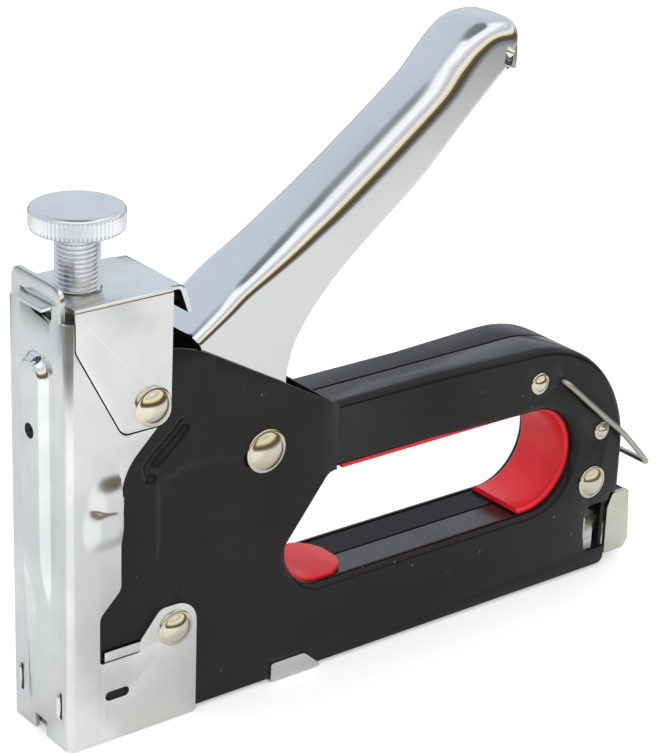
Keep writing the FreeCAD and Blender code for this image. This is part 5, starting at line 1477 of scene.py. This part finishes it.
@dataclass
class Studio:
    """The camera, the soft lamps and the pale floor.

    Attributes:
        focal: focal length in pixels of the photograph's frame.
        azimuth: the camera's turn round the tool, in degrees.
        elevation: its height above the horizon, in degrees.
        roll: its tilt, in degrees.
        shift_right: how far the aim point lies from the optical axis, in millimetres.
        shift_up: the same, upwards.
        distance: from the camera to the aim point, in millimetres.
        aim: the aim point.
        frame_height: pixels of the photograph's long side.
        sensor: the sensor's long side, in millimetres.
        floor_ahead: the floor's tone in reflections, towards the camera.
        floor_beside: the same, to the right of the tool.
        floor_behind: the same, to its left rear.
        floor_far: the same far from the tool: painted shade, so that bright metal mirrors a dark band near the
            horizon.
        floor_glow: what the floor adds towards the camera near the tool.
        far_glow: the same far away, where the lamps don't reach.
        even_light: the room's light on dull surfaces.
        front_sky: colours that bright metal mirrors towards the viewer, by height.
        back_sky: the same, away from the viewer.
    """

    focal: float = 2391.0
    azimuth: float = -38.498
    elevation: float = 22.735
    roll: float = 2.158
    shift_right: float = -20.563
    shift_up: float = -19.886
    distance: float = 525.3
    aim: Place = (40.0, 0.0, 50.0)
    frame_height: float = 753.0
    sensor: float = 36.0
    floor_ahead: Colour = (1.0, 1.0, 0.99)
    floor_beside: Colour = (0.79, 0.79, 0.765)
    floor_behind: Colour = (0.77, 0.79, 0.795)
    floor_far: Colour = (0.20, 0.20, 0.21)
    floor_glow: Colour = (0.34, 0.34, 0.34)
    far_glow: Colour = (0.75, 0.75, 0.75)
    even_light: Colour = (0.44, 0.45, 0.46)
    front_sky: tuple[tuple[float, Colour], ...] = (
        (0.0, (0.10, 0.075, 0.04)), (0.18, (0.15, 0.11, 0.05)), (0.30, (0.95, 0.84, 0.56)),
        (0.42, (1.0, 0.97, 0.88)), (0.58, (0.62, 0.64, 0.67)), (0.68, (0.80, 0.82, 0.85)),
        (0.78, (1.15, 1.15, 1.15)), (0.90, (1.05, 1.07, 1.1)), (0.97, (0.20, 0.22, 0.25)))
    back_sky: tuple[tuple[float, Colour], ...] = (
        (0.0, (0.60, 0.64, 0.68)), (0.30, (0.66, 0.72, 0.79)), (0.60, (0.62, 0.69, 0.77)),
        (0.86, (0.58, 0.64, 0.71)), (0.97, (0.24, 0.26, 0.30)))

    def camera(self) -> None:
        """Places the camera where the photograph was taken."""
        az, el, roll = (math.radians(a) for a in (self.azimuth, self.elevation, self.roll))
        back = Vector((math.sin(az) * math.cos(el), -math.cos(az) * math.cos(el), math.sin(el)))
        level = Vector((math.cos(az), math.sin(az), 0))
        over = back.cross(level)
        right = level * math.cos(roll) + over * math.sin(roll)
        up = over * math.cos(roll) - level * math.sin(roll)
        where = Vector(self.aim) - right * self.shift_right - up * self.shift_up + back * self.distance
        data = bpy.data.cameras.new("camera")
        data.sensor_width = self.sensor
        data.lens = self.focal / self.frame_height * self.sensor
        data.clip_start, data.clip_end = 0.01, 50
        camera = bpy.data.objects.new("camera", data)
        turn = Matrix((right, up, back)).transposed().to_4x4()
        camera.matrix_world = Matrix.Translation(where * MM) @ turn
        bpy.context.scene.collection.objects.link(camera)
        bpy.context.scene.camera = camera

    def lamp(self, name: str, where: Place, size: Flat, power: float, colour: Colour = (1, 1, 1)) -> None:
        """Hangs one soft rectangular lamp that faces the tool.

        Args:
            name: the lamp's name.
            where: its place in metres.
            size: its two sides in metres.
            power: in watts.
            colour: its tint.
        """
        data = bpy.data.lights.new(name, "AREA")
        data.shape = "RECTANGLE"
        data.size, data.size_y = size
        data.energy = power
        data.color = colour
        lamp = bpy.data.objects.new(name, data)
        lamp.location = where
        lamp.visible_glossy = False
        lamp.rotation_euler = (Vector((0.07, 0, 0.06)) - Vector(where)).to_track_quat("-Z", "Y").to_euler()
        bpy.context.scene.collection.objects.link(lamp)

    def floor(self) -> None:
        """Lays a pale floor that glows a little towards the camera and mirrors greyer."""
        Bench.clear()
        bpy.ops.mesh.primitive_plane_add(size=6, location=(0, 0, -0.0003))
        floor = Bench.name(bpy.context.object, "floor")
        material = bpy.data.materials.new("pale_floor")
        material.use_nodes = True
        board = NodeBoard(material.node_tree)
        shader = material.node_tree.nodes["Principled BSDF"]
        board.set(shader, Roughness=0.9, Specular_IOR_Level=0.1)
        place = board.add("TexCoord").outputs["Object"]
        path = board.add("LightPath")
        pale = board.blend(board.noise(place, 6, 2), (0.93, 0.935, 0.94), (0.96, 0.96, 0.96))
        unit = board.add("VectorMath", operation="NORMALIZE")
        board.join(place, unit.inputs[0])
        ahead = board.add("VectorMath", operation="DOT_PRODUCT")
        board.join(unit.outputs["Vector"], ahead.inputs[0])
        turn = math.radians(self.azimuth)
        ahead.inputs[1].default_value = (math.sin(turn), -math.cos(turn), 0)
        rear = board.blend(board.ramp(ahead.outputs["Value"], -0.35, 0.1), self.floor_behind, self.floor_beside)
        seen = board.add("Mix", data_type="RGBA")
        board.join(board.ramp(ahead.outputs["Value"], 0.45, 0.8), seen.inputs["Factor"])
        board.join(rear, seen.inputs[6])
        seen.inputs[7].default_value = (*self.floor_ahead, 1)
        reach = board.add("VectorMath", operation="LENGTH")
        board.join(place, reach.inputs[0])
        # painted shade: in reflections the floor turns dark far from the tool, where the lamps don't reach
        far_shade = board.add("Mix", data_type="RGBA")
        board.join(board.ramp(reach.outputs["Value"], 0.34, 0.75), far_shade.inputs["Factor"])
        board.join(seen.outputs[2], far_shade.inputs[6])
        far_shade.inputs[7].default_value = (*self.floor_far, 1)
        mirrored = board.add("Mix", data_type="RGBA")
        board.join(path.outputs["Is Glossy Ray"], mirrored.inputs["Factor"])
        board.join(pale, mirrored.inputs[6])
        board.join(far_shade.outputs[2], mirrored.inputs[7])
        board.join(mirrored.outputs[2], shader.inputs["Base Color"])
        glow = board.add("Mix", data_type="RGBA")
        board.join(path.outputs["Is Camera Ray"], glow.inputs["Factor"])
        glow.inputs[6].default_value = (0, 0, 0, 1)
        spread = board.ramp(reach.outputs["Value"], 0.3, 1.4)
        board.join(board.blend(spread, self.floor_glow, self.far_glow), glow.inputs[7])
        board.join(glow.outputs[2], shader.inputs["Emission Color"])
        board.set(shader, Emission_Strength=1.0)
        floor.data.materials.append(material)

    def sky(self, board: NodeBoard, height: bpy.types.NodeSocket,
            stops: tuple[tuple[float, Colour], ...]) -> bpy.types.NodeSocket:
        """Colours the sky by its height.

        Args:
            board: the world's node board.
            height: the direction's upward share, from -1 to 1.
            stops: heights with their colours.

        Returns:
            The colour's socket.
        """
        ramp = board.add("ValToRGB")
        ramp.color_ramp.interpolation = "EASE"
        while len(ramp.color_ramp.elements) < len(stops):
            ramp.color_ramp.elements.new(1.0)
        for element, (place, colour) in zip(ramp.color_ramp.elements, stops):
            element.position = place
            element.color = (*colour, 1)
        board.join(height, ramp.inputs["Fac"])
        return ramp.outputs["Color"]

    def world(self) -> None:
        """Lights the room evenly; bright metal mirrors its lamps, its walls and the gaps between."""
        world = bpy.data.worlds.new("studio")
        bpy.context.scene.world = world
        world.use_nodes = True
        board = NodeBoard(world.node_tree)
        background = world.node_tree.nodes["Background"]
        direction = board.add("TexCoord").outputs["Generated"]
        parts = board.add("SeparateXYZ")
        board.join(direction, parts.inputs["Vector"])
        front = self.sky(board, parts.outputs["Z"], self.front_sky)
        back = self.sky(board, parts.outputs["Z"], self.back_sky)
        turn = board.add("Mix", data_type="RGBA")
        board.join(board.ramp(parts.outputs["Y"], -0.15, 0.25), turn.inputs["Factor"])
        board.join(front, turn.inputs[6])
        board.join(back, turn.inputs[7])
        path = board.add("LightPath")
        sharp = board.maths("MAXIMUM", path.outputs["Is Glossy Ray"], path.outputs["Is Transmission Ray"])
        pick = board.add("Mix", data_type="RGBA")
        pick.inputs[6].default_value = (*self.even_light, 1)
        board.join(sharp, pick.inputs["Factor"])
        board.join(turn.outputs[2], pick.inputs[7])
        view = board.add("Mix", data_type="RGBA")
        view.inputs[7].default_value = (1, 1, 1, 1)
        board.join(path.outputs["Is Camera Ray"], view.inputs["Factor"])
        board.join(pick.outputs[2], view.inputs[6])
        board.join(view.outputs[2], background.inputs["Color"])

    def build(self) -> None:
        """Sets the stage."""
        bpy.context.scene.view_settings.view_transform = "Standard"
        self.camera()
        self.floor()
        self.world()
        self.lamp("key_left", (-0.55, -0.75, 0.75), (0.7, 0.7), 5.0)
        self.lamp("fill_right", (0.75, -0.55, 0.45), (0.5, 0.7), 2.0, (1, 0.985, 0.96))
        self.lamp("top_soft", (0.1, 0.25, 1.0), (0.9, 0.9), 4.5, (0.97, 0.985, 1))


def main() -> None:
    """Builds every piece in order and sets the stage."""
    logging.basicConfig(level=logging.INFO, format="%(name)s: %(message)s")
    Paint.dress_nodes()
    SheetMetal().build()
    Casing().build()
    Halves().build()
    Lever().build()
    Screw().build()
    Rivets().build()
    Liners().build()
    LockWire().build()
    Springs().build()
    Studio().build()
    Bench.clear()


if __name__ == "__main__":
    main()
